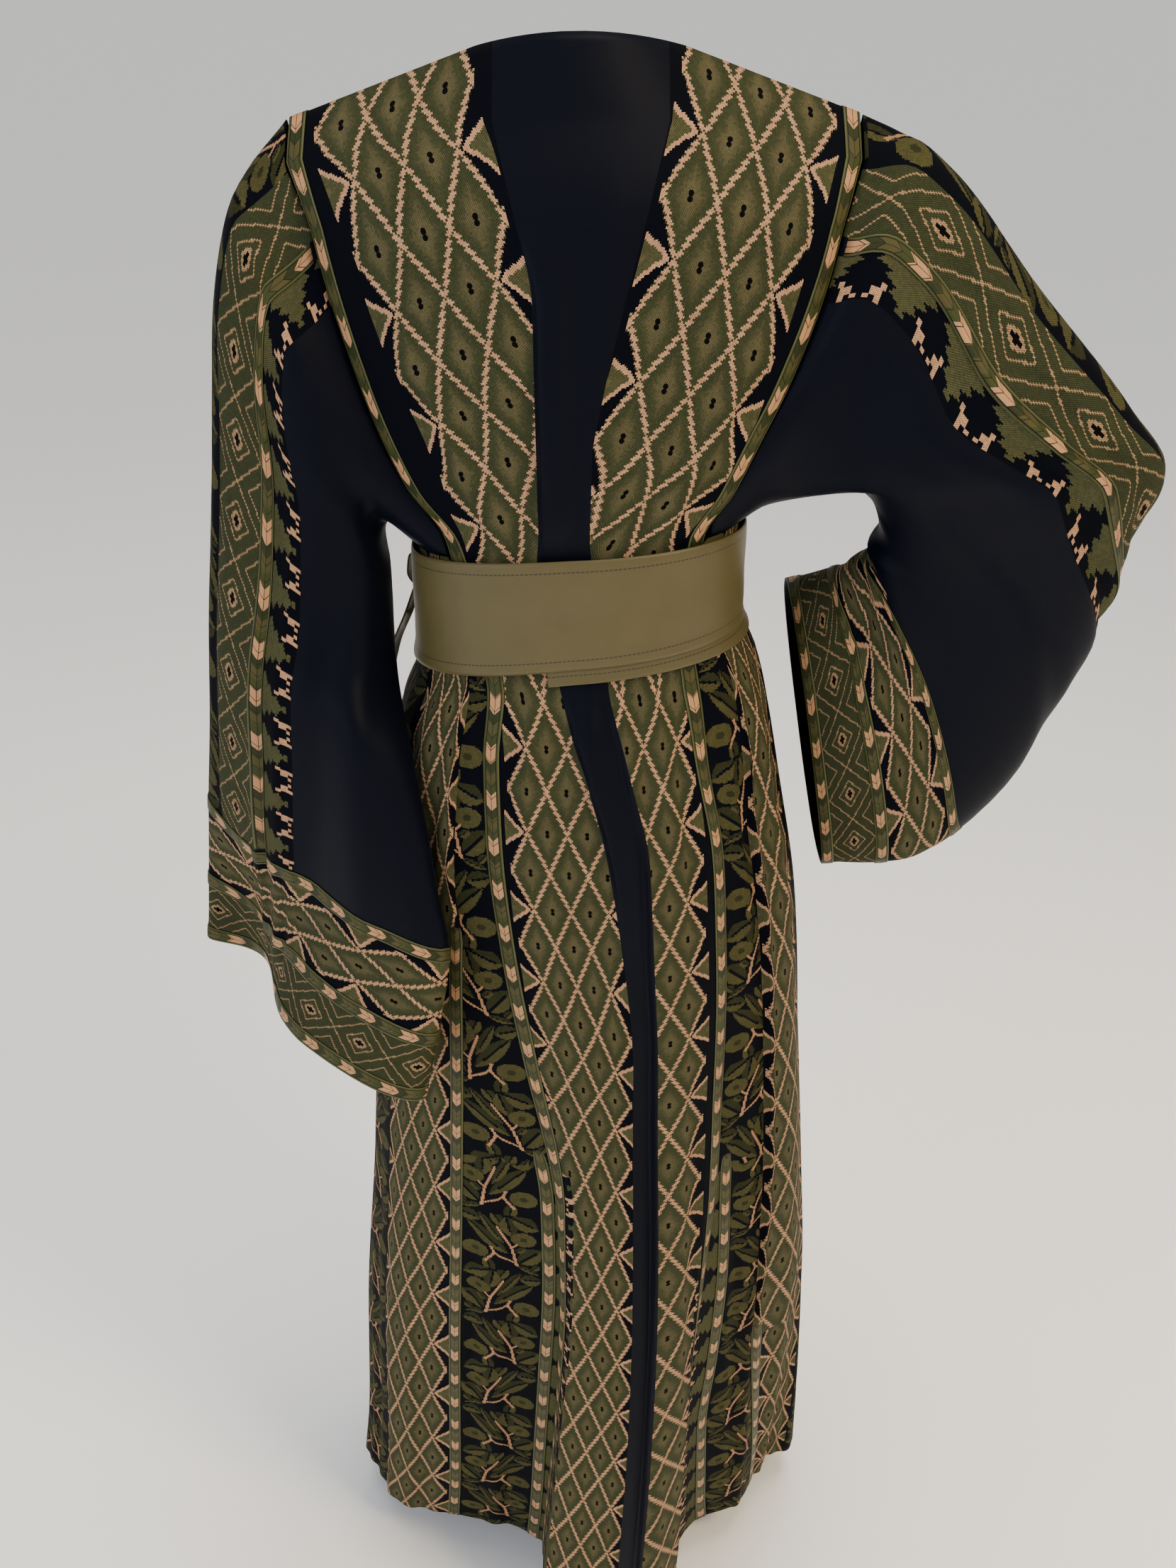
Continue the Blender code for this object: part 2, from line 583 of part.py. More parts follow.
def sleeve_section(outer, inner, back, front, fold):
    """A flattened ring through its outer and inner ends; it starts outside and runs behind."""
    outer, inner = np.array(outer), np.array(inner)
    middle, half = (outer + inner) / 2, (outer - inner) / 2
    chord = half / np.linalg.norm(half)
    deep = np.array((0.0, -1.0, 0.0))
    deep = deep - chord * (deep @ chord)
    deep = deep / np.linalg.norm(deep)
    turn = np.arange(AROUND) / AROUND * 2 * math.pi
    c, s = np.cos(turn), np.sin(turn)
    depth = np.where(s > 0, back, front)
    along = np.sign(c) * np.abs(c)**(2 / SLEEVE_SQUARE)
    in_fold = np.clip((turn - FOLD_MIDDLE) / FOLD_HALF_WIDTH, -1, 1)
    across = np.sign(s) * np.abs(s)**(2 / SLEEVE_SQUARE) * depth
    across = across - fold * np.cos(in_fold * math.pi / 2)**2
    return middle + along[:, None] * half + across[:, None] * deep


def sleeve_surface(side):
    """Fine rings from the armhole to the cuff, and how far the cloth has turned at each."""
    rows = [dict(zip(SLEEVE_COLUMNS, row)) for row in SLEEVES[side]]
    rings = [armhole(side)]
    shape = ("outer", "inner", "back", "front", "fold")
    rings += [sleeve_section(*(row[name] for name in shape)) for row in rows]
    rings = np.array(rings)
    steps = np.linalg.norm(np.diff(rings, axis=0), axis=2).mean(axis=1)
    at = np.concatenate([[0], np.cumsum(steps)])
    fine = np.linspace(0, at[-1], ALONG)
    flat = rings.reshape(len(rings), -1)
    points = np.stack([smooth_at(fine, at, flat[:, k]) for k in range(flat.shape[1])], -1)
    turn = smooth_at(fine, at, [0] + [r["turn"] for r in rows])
    return points.reshape(ALONG, AROUND, 3), turn


def across_sleeve(ring, turn):
    """Points round one ring at the band distances from its top line, then to the underside."""
    closed = np.concatenate([ring, ring, ring[:1]])
    along = lengths(closed)
    whole = along[-1] / 2
    start = np.interp((1 - turn / 360) * AROUND % AROUND, np.arange(len(closed)), along)
    rest = np.linspace(SLEEVE_BANDS[-1], whole / 2, UNDER_STEPS + 1)[1:]
    behind = np.concatenate([SLEEVE_BANDS, rest])
    round_all = np.concatenate([behind, whole - behind[-2:0:-1]])
    at = (start + round_all) % whole
    return np.stack([np.interp(at, along, closed[:, k]) for k in range(3)], -1)


def sleeve_grid(side):
    """Rows from the armhole to the cuff's edge; columns run round towards +angle."""
    points, turn = sleeve_surface(side)
    lines = np.stack([across_sleeve(ring, t) for ring, t in zip(points, turn)])
    near_seam = 4 * MM
    columns = []
    for k in range(lines.shape[1]):
        along = lengths(lines[:, k])
        total = along[-1]
        upper = np.linspace(near_seam, total - CUFF_BANDS[-1] - near_seam, UPPER_STEPS)
        at = np.concatenate([[0], upper, total - np.array(CUFF_BANDS[::-1])])
        columns.append(np.stack([np.interp(at, along, lines[:, k, i]) for i in range(3)], -1))
    grid = np.stack(columns, 1)
    return grid if side == "left" else np.roll(grid[:, ::-1], 1, 1)


def build_sleeve(side, cloth, braid):
    grid = sleeve_grid(side)
    shell(f"sleeve_{side}", grid, CLOTH, cloth, closed=True)
    first, last = LONG_BRAID
    upper_rows = slice(1, UPPER_STEPS + 1)
    width = grid.shape[1]
    behind = slice(first, last) if side == "left" else slice(width - last + 1, width - first + 1)
    ahead = slice(first, last) if side == "right" else slice(width - last + 1, width - first + 1)
    strip_on(f"sleeve_braid_back_{side}", grid, behind, braid, SLEEVE_LIFT, upper_rows, True)
    strip_on(f"sleeve_braid_front_{side}", grid, ahead, braid, SLEEVE_LIFT, upper_rows, True)
    for place, (near, far) in CUFF_BRAIDS.items():
        rows = slice(len(grid) - 1 - far, len(grid) - near)
        lift = BEND_LIFT if (place, side) == ("inner", "right") else SLEEVE_LIFT
        out = grid + offsets(grid, True) * (lift + BRAID)
        shell(f"cuff_braid_{place}_{side}", out[rows], BRAID, braid, closed=True)


# ---- Belt ties ------------------------------------------------------------------------------

TIE_WIDTH = 0.012
KNOT_SIZE = (0.014, 0.028, 0.022)       # out from the belt, along it, up
KNOT_ANGLE = math.radians(-117)
KNOT_DROP = 0.402
# Each tie's path from the knot's middle: out from the belt, along it, and up.
TIES = {
    "tie_loop_upper": ((.0075, -.006, .005), (.013, -.008, .013), (.023, -.008, .008),
                       (.025, -.007, -.008), (.017, -.006, -.016), (.0075, -.006, -.006)),
    "tie_loop_lower": ((.004, .000, -.0115), (.012, -.003, -.026), (.016, -.004, -.044),
                       (.009, -.004, -.056), (.000, -.003, -.044), (-.001, -.001, -.0115)),
    "tie_end": ((.004, .0135, -.0115), (.014, .014, -.035), (.030, .012, -.065),
                (.040, .010, -.092)),
}


def knot_frame():
    """The knot's middle, and the directions out from the belt and along it."""
    lift = BELT_LIFT + BELT + SEAM + KNOT_SIZE[0] / 2
    middle = ring_point(KNOT_ANGLE, KNOT_DROP, lift)
    _, _, nx, ny = section_shape(KNOT_ANGLE, KNOT_DROP)
    return middle, np.array((nx, ny, 0)), np.array((-ny, nx, 0))


def ribbon(name, path, slot):
    """A flat strap along a path given in the knot's directions."""
    middle, out, along = knot_frame()
    path = np.array(path)
    points = middle + path[:, :1] * out + path[:, 1:2] * along + path[:, 2:] * np.array((0, 0, 1))
    reached = lengths(points)
    at = np.linspace(0, reached[-1], 4 * len(points) - 3)
    line = np.stack([smooth_at(at, reached, points[:, k]) for k in range(3)], -1)
    wide = along * TIE_WIDTH / 2
    return shell(name, np.stack([line - wide, line + wide], 1), BELT, slot)


def build_ties(slot):
    middle, out, _ = knot_frame()
    bpy.ops.mesh.primitive_cube_add(size=1, location=middle)
    knot = bpy.context.object
    knot.name = "tie_knot"
    knot.dimensions = KNOT_SIZE
    bpy.ops.object.transform_apply(location=False, rotation=False, scale=True)
    knot.rotation_euler.z = math.atan2(out[1], out[0])
    knot.data.materials.append(slot)
    soften = knot.modifiers.new("soften", "BEVEL")
    soften.width = 0.004
    soften.segments = 2
    for name, path in TIES.items():
        ribbon(name, path, slot)


# ---- The whole garment ----------------------------------------------------------------------

def build_body(cloth, braid):
    back, front = back_grid(BODY_DROPS), front_grid(BODY_DROPS)
    shell("back_panel", back, CLOTH, cloth)
    above = np.append(BODY_DROPS[BODY_DROPS < WAIST_SEAM], WAIST_SEAM - SEAM / 2)
    below = np.insert(BODY_DROPS[BODY_DROPS > WAIST_SEAM], 0, WAIST_SEAM + SEAM / 2)
    shell("front_bodice", front_grid(above), CLOTH, cloth)
    shell("front_skirt", front_grid(below), CLOTH, cloth)
    strip_on("seam_braid_back_left", back, slice(0, 3), braid)
    strip_on("seam_braid_back_right", back, slice(-3, None), braid)
    strip_on("seam_braid_front_right", front, slice(0, 3), braid)
    strip_on("seam_braid_front_left", front, slice(-3, None), braid)
    for side in ("left", "right"):
        grid = side_grid(side, SIDE_DROPS)
        shell(f"side_panel_{side}", grid, CLOTH, cloth)
        for name, columns, line in (("leaf_braid_back", BACK_LEAF, f"{side}_leaf"),
                                    ("leaf_braid_front", FRONT_LEAF, "front_leaf"),
                                    ("side_braid_back", BACK_SIDE, f"{side}_side"),
                                    ("side_braid_front", FRONT_SIDE, "front_side")):
            rows = slice(int(np.searchsorted(SIDE_DROPS, BRAID_START[line])), None)
            strip_on(f"{name}_{side}", grid, side_columns(side, columns), braid, rows=rows)


def build():
    for made in list(bpy.data.objects):
        bpy.data.objects.remove(made)
    cloth = material("embroidered_cloth", (0.055, 0.062, 0.030), 0.85)
    braid = material("braid_tape", (0.230, 0.190, 0.070), 0.55)
    satin = material("belt_satin", (0.190, 0.170, 0.070), 0.45)
    build_body(cloth, braid)
    for side in ("left", "right"):
        build_sleeve(side, cloth, braid)
    build_belt(satin)
    build_ties(satin)


build()
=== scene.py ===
"""Looks of a Palestinian thobe dress on its wearer's form. Metres, +Z up, the back faces -Y.

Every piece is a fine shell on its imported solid's form. The panels carry a cloth map counted in
cross-stitches, so the embroidery follows the cloth round its folds.
"""
import math

import bmesh
import bpy
import numpy as np
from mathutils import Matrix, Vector


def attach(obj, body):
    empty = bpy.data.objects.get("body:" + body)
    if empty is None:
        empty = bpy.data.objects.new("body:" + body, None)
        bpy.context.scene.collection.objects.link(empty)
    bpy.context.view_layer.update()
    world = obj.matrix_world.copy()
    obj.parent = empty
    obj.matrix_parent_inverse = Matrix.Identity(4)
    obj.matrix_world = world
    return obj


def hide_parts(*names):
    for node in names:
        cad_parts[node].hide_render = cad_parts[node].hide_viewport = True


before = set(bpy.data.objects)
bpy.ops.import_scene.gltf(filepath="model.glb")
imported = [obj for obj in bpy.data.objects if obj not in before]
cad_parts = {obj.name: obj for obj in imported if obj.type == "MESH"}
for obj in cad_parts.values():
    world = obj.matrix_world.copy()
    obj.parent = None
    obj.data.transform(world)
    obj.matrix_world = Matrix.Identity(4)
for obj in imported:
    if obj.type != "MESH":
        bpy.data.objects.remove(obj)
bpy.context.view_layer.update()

MM = 0.001
CLOTH = 1.0 * MM        # a panel's shell
BRAID = 1.0 * MM        # how high a braid stands on its panel
BELT = 1.4 * MM
SEAM = 0.3 * MM
HEM_DROP = 1.50
TOP_DROP = 0.12         # the shoulders round off above this
BRAID_WIDTH = 13 * MM

# Horizontal sections of the body: half widths, depth behind and in front of the middle.
BODY = {
    "columns": ("drop", "left", "right", "back", "front", "middle", "square"),
    "rows": (
        (0.050, 0.222, 0.212, 0.085, 0.085, 0.000, 2.4),
        (0.100, 0.208, 0.203, 0.098, 0.100, 0.000, 2.4),
        (0.160, 0.195, 0.195, 0.105, 0.115, 0.000, 2.4),
        (0.220, 0.178, 0.180, 0.107, 0.120, 0.000, 2.4),
        (0.260, 0.165, 0.165, 0.107, 0.115, 0.000, 2.4),
        (0.300, 0.148, 0.146, 0.105, 0.105, 0.000, 2.4),
        (0.335, 0.127, 0.122, 0.102, 0.098, 0.000, 2.4),
        (0.405, 0.127, 0.122, 0.102, 0.098, 0.000, 2.4),
        (0.430, 0.127, 0.133, 0.104, 0.101, 0.001, 2.4),
        (0.450, 0.131, 0.142, 0.112, 0.110, 0.003, 2.3),
        (0.500, 0.150, 0.153, 0.125, 0.140, 0.010, 2.3),
        (0.560, 0.160, 0.164, 0.135, 0.150, 0.018, 2.3),
        (0.680, 0.175, 0.186, 0.145, 0.160, 0.030, 2.3),
        (0.860, 0.196, 0.206, 0.150, 0.170, 0.050, 2.2),
        (1.020, 0.211, 0.220, 0.155, 0.175, 0.070, 2.2),
        (1.200, 0.229, 0.234, 0.150, 0.180, 0.090, 2.2),
        (1.410, 0.243, 0.247, 0.135, 0.180, 0.110, 2.2),
        (1.500, 0.254, 0.250, 0.120, 0.180, 0.120, 2.2),
    ),
}

# Where the lines on the back lie, in degrees from the centre back (left is negative): both
# sides of each seam braid, the crest of the fold beside it, and the black strip's two edges.
BACK_LINES = {
    "columns": ("drop", "left_out", "left_in", "left_fold", "black_left", "black_right",
                "right_fold", "right_in", "right_out"),
    "rows": (
        (0.050, -64.0, -56.3, -53.0, -10.5, 12.5, 53.0, 56.0, 64.0),
        (0.105, -64.0, -57.0, -53.7, -8.0, 9.5, 52.5, 55.5, 62.5),
        (0.165, -63.0, -56.0, -52.7, -5.5, 6.0, 48.3, 51.3, 58.0),
        (0.225, -61.5, -54.4, -51.2, -6.0, 3.0, 42.9, 45.9, 52.5),
        (0.270, -59.0, -51.6, -48.4, -6.5, 1.5, 38.1, 41.1, 48.0),
        (0.310, -55.5, -47.7, -44.5, -7.5, 1.5, 35.0, 38.0, 45.5),
        (0.345, -46.5, -38.4, -35.4, -9.0, 2.0, 32.0, 34.9, 43.0),
        (0.440, -30.5, -23.4, -20.6, -3.5, 6.0, 26.7, 29.5, 36.5),
        (0.500, -27.0, -21.3, -18.7, 1.2, 10.2, 28.0, 30.5, 36.2),
        (0.585, -24.0, -18.9, -16.6, 6.5, 14.5, 31.3, 33.6, 38.8),
        (0.670, -19.3, -14.7, -12.6, 9.2, 14.5, 30.2, 32.3, 37.0),
        (0.790, -12.8, -8.9, -7.2, 11.5, 15.2, 29.7, 31.4, 35.6),
        (0.945, -5.3, -3.0, -1.4, 11.0, 14.7, 27.7, 29.1, 32.6),
        (1.050, -4.4, -2.9, -1.6, 10.4, 14.0, 24.6, 25.8, 28.4),
        (1.200, -5.0, -4.3, -3.6, 9.2, 12.4, 21.2, 22.0, 23.2),
        (1.440, -7.9, -7.5, -6.6, 6.8, 9.7, 18.7, 19.5, 20.2),
        (1.500, -8.4, -8.0, -7.1, 6.5, 9.3, 18.3, 19.2, 19.8),
    ),
}

# The middles of the two braids that lie on each side panel, seen from behind.
SIDE_LINES = {
    "columns": ("drop", "left_leaf", "left_side", "right_leaf", "right_side"),
    "rows": (
        (0.335, -50.0, -57.0, 47.0, 60.0),
        (0.440, -33.5, -39.5, 40.0, 53.5),
        (0.500, -30.0, -36.5, 39.8, 54.0),
        (0.585, -27.0, -36.3, 42.3, 51.5),
        (0.670, -22.5, -33.4, 40.6, 51.5),
        (0.790, -16.0, -32.6, 39.2, 51.8),
        (0.945, -7.3, -32.2, 35.6, 51.0),
        (1.050, -6.8, -32.2, 34.6, 49.0),
        (1.200, -7.9, -32.2, 31.0, 47.0),
        (1.300, -8.9, -32.5, 28.0, 48.5),
        (1.440, -10.2, -32.9, 28.6, 51.2),
        (1.500, -10.8, -33.0, 29.5, 52.3),
    ),
}
FRONT_TURN = 180.0      # the front's lines mirror these, in degrees each side of centre front
FRONT_LINES = {
    "columns": ("drop", "out", "in", "black", "leaf", "side"),
    "rows": (
        (0.050, 64.0, 55.7, 12.0, 70.0, 80.0),
        (0.165, 60.5, 54.0, 10.0, 67.0, 77.0),
        (0.270, 53.5, 46.5, 7.5, 60.0, 72.0),
        (0.345, 44.5, 36.1, 6.0, 49.0, 60.0),
        (0.440, 34.0, 27.1, 6.5, 38.0, 50.0),
        (0.670, 32.0, 27.0, 8.0, 36.5, 49.0),
        (1.050, 30.0, 25.8, 8.5, 35.5, 53.0),
        (1.500, 29.5, 25.7, 9.0, 36.5, 56.0),
    ),
}

# Broad flutes of the skirt: angle at the waist and at the hem, half width, how far they stand
# out at the hem, and the drop where they start.
FLUTES = {
    "columns": ("waist_angle", "hem_angle", "half_width", "out", "start"),
    "rows": (
        (8, 6, 25, 0.050, 0.55),
        (-50, -48, 17, 0.012, 0.60),
        (64, 66, 16, 0.012, 0.50),
        (66, 66, 28, -0.040, 1.12),
        (122, 124, 17, 0.020, 0.55),
        (150, 152, 15, -0.012, 0.60),
        (180, 182, 20, 0.030, 0.50),
        (-150, -151, 14, -0.014, 0.60),
        (-120, -123, 18, 0.022, 0.55),
    ),
}

# Laps, where one strip of cloth stands over the next and hides part of it. Each runs beside
# one line, is raised on the side that "raised" gives, and falls back over "reach" metres. Its
# heights are pairs of a drop and a height.
LAPS = (
    # the black strip over the left diamonds
    {"line": "black_left", "raised": 1, "reach": .06,
     "heights": ((.12, 0), (.20, .006), (.31, .007), (.345, 0), (.448, 0), (.48, .006),
                 (.56, .006), (.67, 0))},
    # the right diamonds over the black strip
    {"line": "black_right", "raised": 1, "reach": .07,
     "heights": ((.448, 0), (.48, .003), (.60, .009), (.80, .012), (1.20, .014), (1.50, .016))},
    # the centre flute over the left seam, and over the right one
    {"line": "left_fold", "raised": 1, "reach": .15,
     "heights": ((.448, 0), (.48, .003), (.82, .004), (.94, .010), (1.05, .020), (1.20, .036),
                 (1.41, .060), (1.50, .072))},
    {"line": "right_fold", "raised": -1, "reach": .12,
     "heights": ((.448, 0), (.48, .003), (.90, .004), (1.05, .008), (1.20, .016), (1.41, .026),
                 (1.50, .030))},
    # the side diamonds over the leaf strip, on the left and on the right
    {"line": "left_side", "raised": -1, "reach": .06,
     "heights": ((.448, 0), (.48, .005), (.58, .006), (.70, 0))},
    {"line": "right_side", "raised": 1, "reach": .07,
     "heights": ((.448, 0), (.49, .006), (.70, .010), (.95, .010), (1.18, .004), (1.30, 0))},
)
LAP_STEP = 0.005        # a lap's step on the black strip; elsewhere it is the braid's width

# Above these drops a side braid runs inside a fold, so it isn't built and little of its width
# is kept for it.
BRAID_START = {"left_leaf": .90, "right_leaf": .93, "left_side": .67, "right_side": 1.19,
               "front_leaf": .85, "front_side": .66}
HIDDEN_SHARE = 0.35


# ---- Reading the tables ---------------------------------------------------------------------

def smooth_at(x, xs, ys):
    """A curve through the points (xs, ys) that doesn't overshoot, read at x."""
    x, xs, ys = (np.asarray(v, float) for v in (x, xs, ys))
    gaps = np.diff(xs)
    slopes = np.diff(ys) / gaps
    ends = np.concatenate([slopes[:1], np.zeros(len(xs) - 2), slopes[-1:]])
    for i in range(1, len(xs) - 1):
        before, after = slopes[i - 1], slopes[i]
        if before * after > 0:
            ends[i] = 2 * before * after / (before + after)
    i = np.clip(np.searchsorted(xs, x) - 1, 0, len(xs) - 2)
    t = np.clip((x - xs[i]) / gaps[i], 0, 1)
    flat = ys[i] * (2 * t**3 - 3 * t**2 + 1) + ys[i + 1] * (3 * t**2 - 2 * t**3)
    return flat + gaps[i] * (ends[i] * (t**3 - 2 * t**2 + t) + ends[i + 1] * (t**3 - t**2))


def read(table, name, drop):
    rows = np.array(table["rows"], float)
    return smooth_at(drop, rows[:, 0], rows[:, table["columns"].index(name)])


def line_angle(name, drop):
    """A line's angle in radians; a front line is given as front_left_in and the like."""
    if name.startswith("front_"):
        _, side, line = name.split("_")
        turn = FRONT_TURN - read(FRONT_LINES, line, drop)
        return np.radians(turn if side == "right" else -turn)
    table = BACK_LINES if name in BACK_LINES["columns"] else SIDE_LINES
    return np.radians(read(table, name, drop))


# ---- The body's surface ---------------------------------------------------------------------

def section_shape(angle, drop):
    """The plain section, before flutes and laps: its point and its outward direction."""
    angle, drop = np.broadcast_arrays(np.asarray(angle, float), np.asarray(drop, float))
    s, c = np.sin(angle), np.cos(angle)
    half = np.where(s >= 0, read(BODY, "right", drop), read(BODY, "left", drop))
    deep = np.where(c >= 0, read(BODY, "back", drop), read(BODY, "front", drop))
    square = read(BODY, "square", drop)
    x = np.sign(s) * half * np.abs(s)**(2 / square)
    y = -np.sign(c) * deep * np.abs(c)**(2 / square)
    nx = np.sign(x) * np.abs(x / half)**(square - 1) / half
    ny = np.sign(y) * np.abs(y / deep)**(square - 1) / deep
    length = np.hypot(nx, ny)
    return x, y, nx / length, ny / length


def radius(angle, drop):
    """How far one radian round the plain section is, in metres."""
    near = math.radians(3)
    x0, y0, _, _ = section_shape(angle - near, drop)
    x1, y1, _, _ = section_shape(angle + near, drop)
    return np.hypot(x1 - x0, y1 - y0) / (2 * near)


def wrapped(angle):
    return (angle + math.pi) % (2 * math.pi) - math.pi


def hill(away):
    """A soft hill: 1 in its middle and 0 from one unit away."""
    return np.cos(np.clip(away, -1, 1) * math.pi / 2)**2


def flutes(angle, drop):
    out = 0.0
    for waist, hem, half_width, height, start in FLUTES["rows"]:
        fall = np.clip((drop - start) / (HEM_DROP - start), 0, 1)
        middle = np.radians(waist + (hem - waist) * fall)
        out = out + height * fall**1.3 * hill(wrapped(angle - middle) / math.radians(half_width))
    return out


def tape_half(line, drop):
    """Half the width kept for a braid on a side panel."""
    start = BRAID_START["front_" + line.split("_")[-1] if line.startswith("front") else line]
    return BRAID_WIDTH / 2 * np.clip(1 + (drop - start) / 0.06, HIDDEN_SHARE, 1)


def lap_step(line, drop):
    if line.startswith("black"):
        return LAP_STEP
    if line.endswith("_side"):
        return tape_half(line, drop)
    outer, inner = line_angle(line.replace("_fold", "_out"), drop), line_angle(line, drop)
    return np.abs(outer - inner) * radius(outer, drop)


def laps(angle, drop):
    out = 0.0
    for lap in LAPS:
        height = smooth_at(drop, *zip(*lap["heights"]))
        away = wrapped(angle - line_angle(lap["line"], drop)) * lap["raised"] * radius(angle, drop)
        rise = np.clip(1 + away / lap_step(lap["line"], drop), 0, 1)
        step = rise * rise * (3 - 2 * rise)
        out = out + height * np.where(away < 0, step, hill(away / lap["reach"]))
    return out


def ring_point(angle, drop, lift=0.0):
    """A point of the body below the shoulders, moved out by lift."""
    x, y, nx, ny = section_shape(angle, drop)
    out = flutes(angle, drop) + laps(angle, drop) + lift
    y = read(BODY, "middle", drop) + y + ny * out
    return np.stack(np.broadcast_arrays(x + nx * out, y, -drop), -1)


NECK_HALF = 0.071       # half the width of the neck opening at the shoulders
NECK_SIDE_Y = -0.020
NECK_BACK_Y = -0.050
NECK_FRONT_Y = 0.070
NECK_DROP = 0.009       # how far the neck's sides lie below its back
FRONT_NECK_DROP = 0.095
SHOULDER_SLOPE = 0.345
SHOULDER_X = 0.203
SHOULDER_GAP = 2.4 * MM


def shoulder_edge(x, front):
    """The top edge of the back or front panel: neckline, then shoulder seam."""
    across = np.clip(np.abs(x) / NECK_HALF, 0, 1)
    dip = 1 - across**2
    beyond = np.clip(np.abs(x) - NECK_HALF, 0, None)
    seam_y = NECK_SIDE_Y * (1 - np.clip(beyond / (SHOULDER_X - NECK_HALF), 0, 1))
    middle_y = NECK_FRONT_Y if front else NECK_BACK_Y
    middle_drop = FRONT_NECK_DROP if front else 0.0
    gap = SHOULDER_GAP / 2 * (1 if front else -1)
    y = seam_y + (middle_y - NECK_SIDE_Y) * dip + gap
    drop = NECK_DROP + SHOULDER_SLOPE * beyond + (middle_drop - NECK_DROP) * dip
    return y, -drop


def body_point(angle, drop):
    """A point of the back or front panel; above TOP_DROP it rounds up to the shoulder edge."""
    angle, drop = np.broadcast_arrays(np.asarray(angle, float), np.asarray(drop, float))
    full = ring_point(angle, np.maximum(drop, 0.05))
    back_y, back_z = shoulder_edge(full[..., 0], False)
    front_y, front_z = shoulder_edge(full[..., 0], True)
    front = np.cos(angle) < 0
    edge_y, edge_z = np.where(front, front_y, back_y), np.where(front, front_z, back_z)
    down = np.clip(drop / TOP_DROP, 0, 1)
    y = edge_y + (full[..., 1] - edge_y) * np.sin(down * math.pi / 2)
    z = np.where(drop < TOP_DROP, edge_z + (-TOP_DROP - edge_z) * down, -drop)
    return np.stack([full[..., 0], y, z], -1)


def unit(vectors):
    return vectors / np.linalg.norm(vectors, axis=-1, keepdims=True)


def offsets(grid, closed=False):
    """What to add to each point to move the faces out by one metre.

    The grid's rows run down and its columns run towards +angle; each point moves along the
    mean of its faces' normals, further where they bend, so that the faces stay parallel.
    """
    wide = np.concatenate([grid, grid[:, :1]], 1) if closed else grid
    faces = unit(np.cross(wide[1:, :-1] - wide[:-1, 1:], wide[1:, 1:] - wide[:-1, :-1]))
    faces = np.concatenate([faces[:1], faces, faces[-1:]], 0)
    if closed:
        faces = np.concatenate([faces[:, -1:], faces], 1)
    else:
        faces = np.concatenate([faces[:, :1], faces, faces[:, -1:]], 1)
    near = np.stack([faces[:-1, :-1], faces[1:, :-1], faces[:-1, 1:], faces[1:, 1:]])
    mean = unit(near.sum(0))
    return mean / np.clip((near * mean).sum(-1).mean(0), 0.5, 1)[..., None]


def between(lines, counts):
    """Columns from one line to the next, with counts[i] equal steps in gap i."""
    columns = [lines[0]]
    for start, end, count in zip(lines, lines[1:], counts):
        columns += [start + (end - start) * k / count for k in range(1, count + 1)]
    return np.stack(columns, -1)


def seam_shift(line, drop, side):
    """A line moved half a seam along the body, so that the panels don't touch."""
    angle = line_angle(line, drop)
    return angle + side * SEAM / 2 / radius(angle, drop)


# ---- Belt -----------------------------------------------------------------------------------

WRAP_LIFT = SEAM + BRAID + 5 * SEAM     # the wrap clears the seam braids under it
BELT_LIFT = WRAP_LIFT + BELT + 2 * SEAM
WRAP_OVERLAP = 0.030
WRAP_SHOWS = 0.011
WRAP_STEPS = (-1, 18)   # belt columns that the wrap spans, from its mitred end behind
BELT_COLUMNS = 44
WAIST_SEAM = 0.3925     # joins the front's bodice and skirt, under the belt


def belt_top(angle):
    """The belt sits lower on the left."""
    return 0.3475 - 0.0100 * np.sin(angle) - 0.0060 * np.cos(angle)


def belt_bottom(angle):
    return 0.4300 - 0.0170 * np.sin(angle) - 0.0040 * np.cos(angle)


def armhole_drop(angle):
    """The underarm: the sleeves end just above the belt."""
    return belt_top(angle) - 1.5 * MM


# ---- Sleeves --------------------------------------------------------------------------------

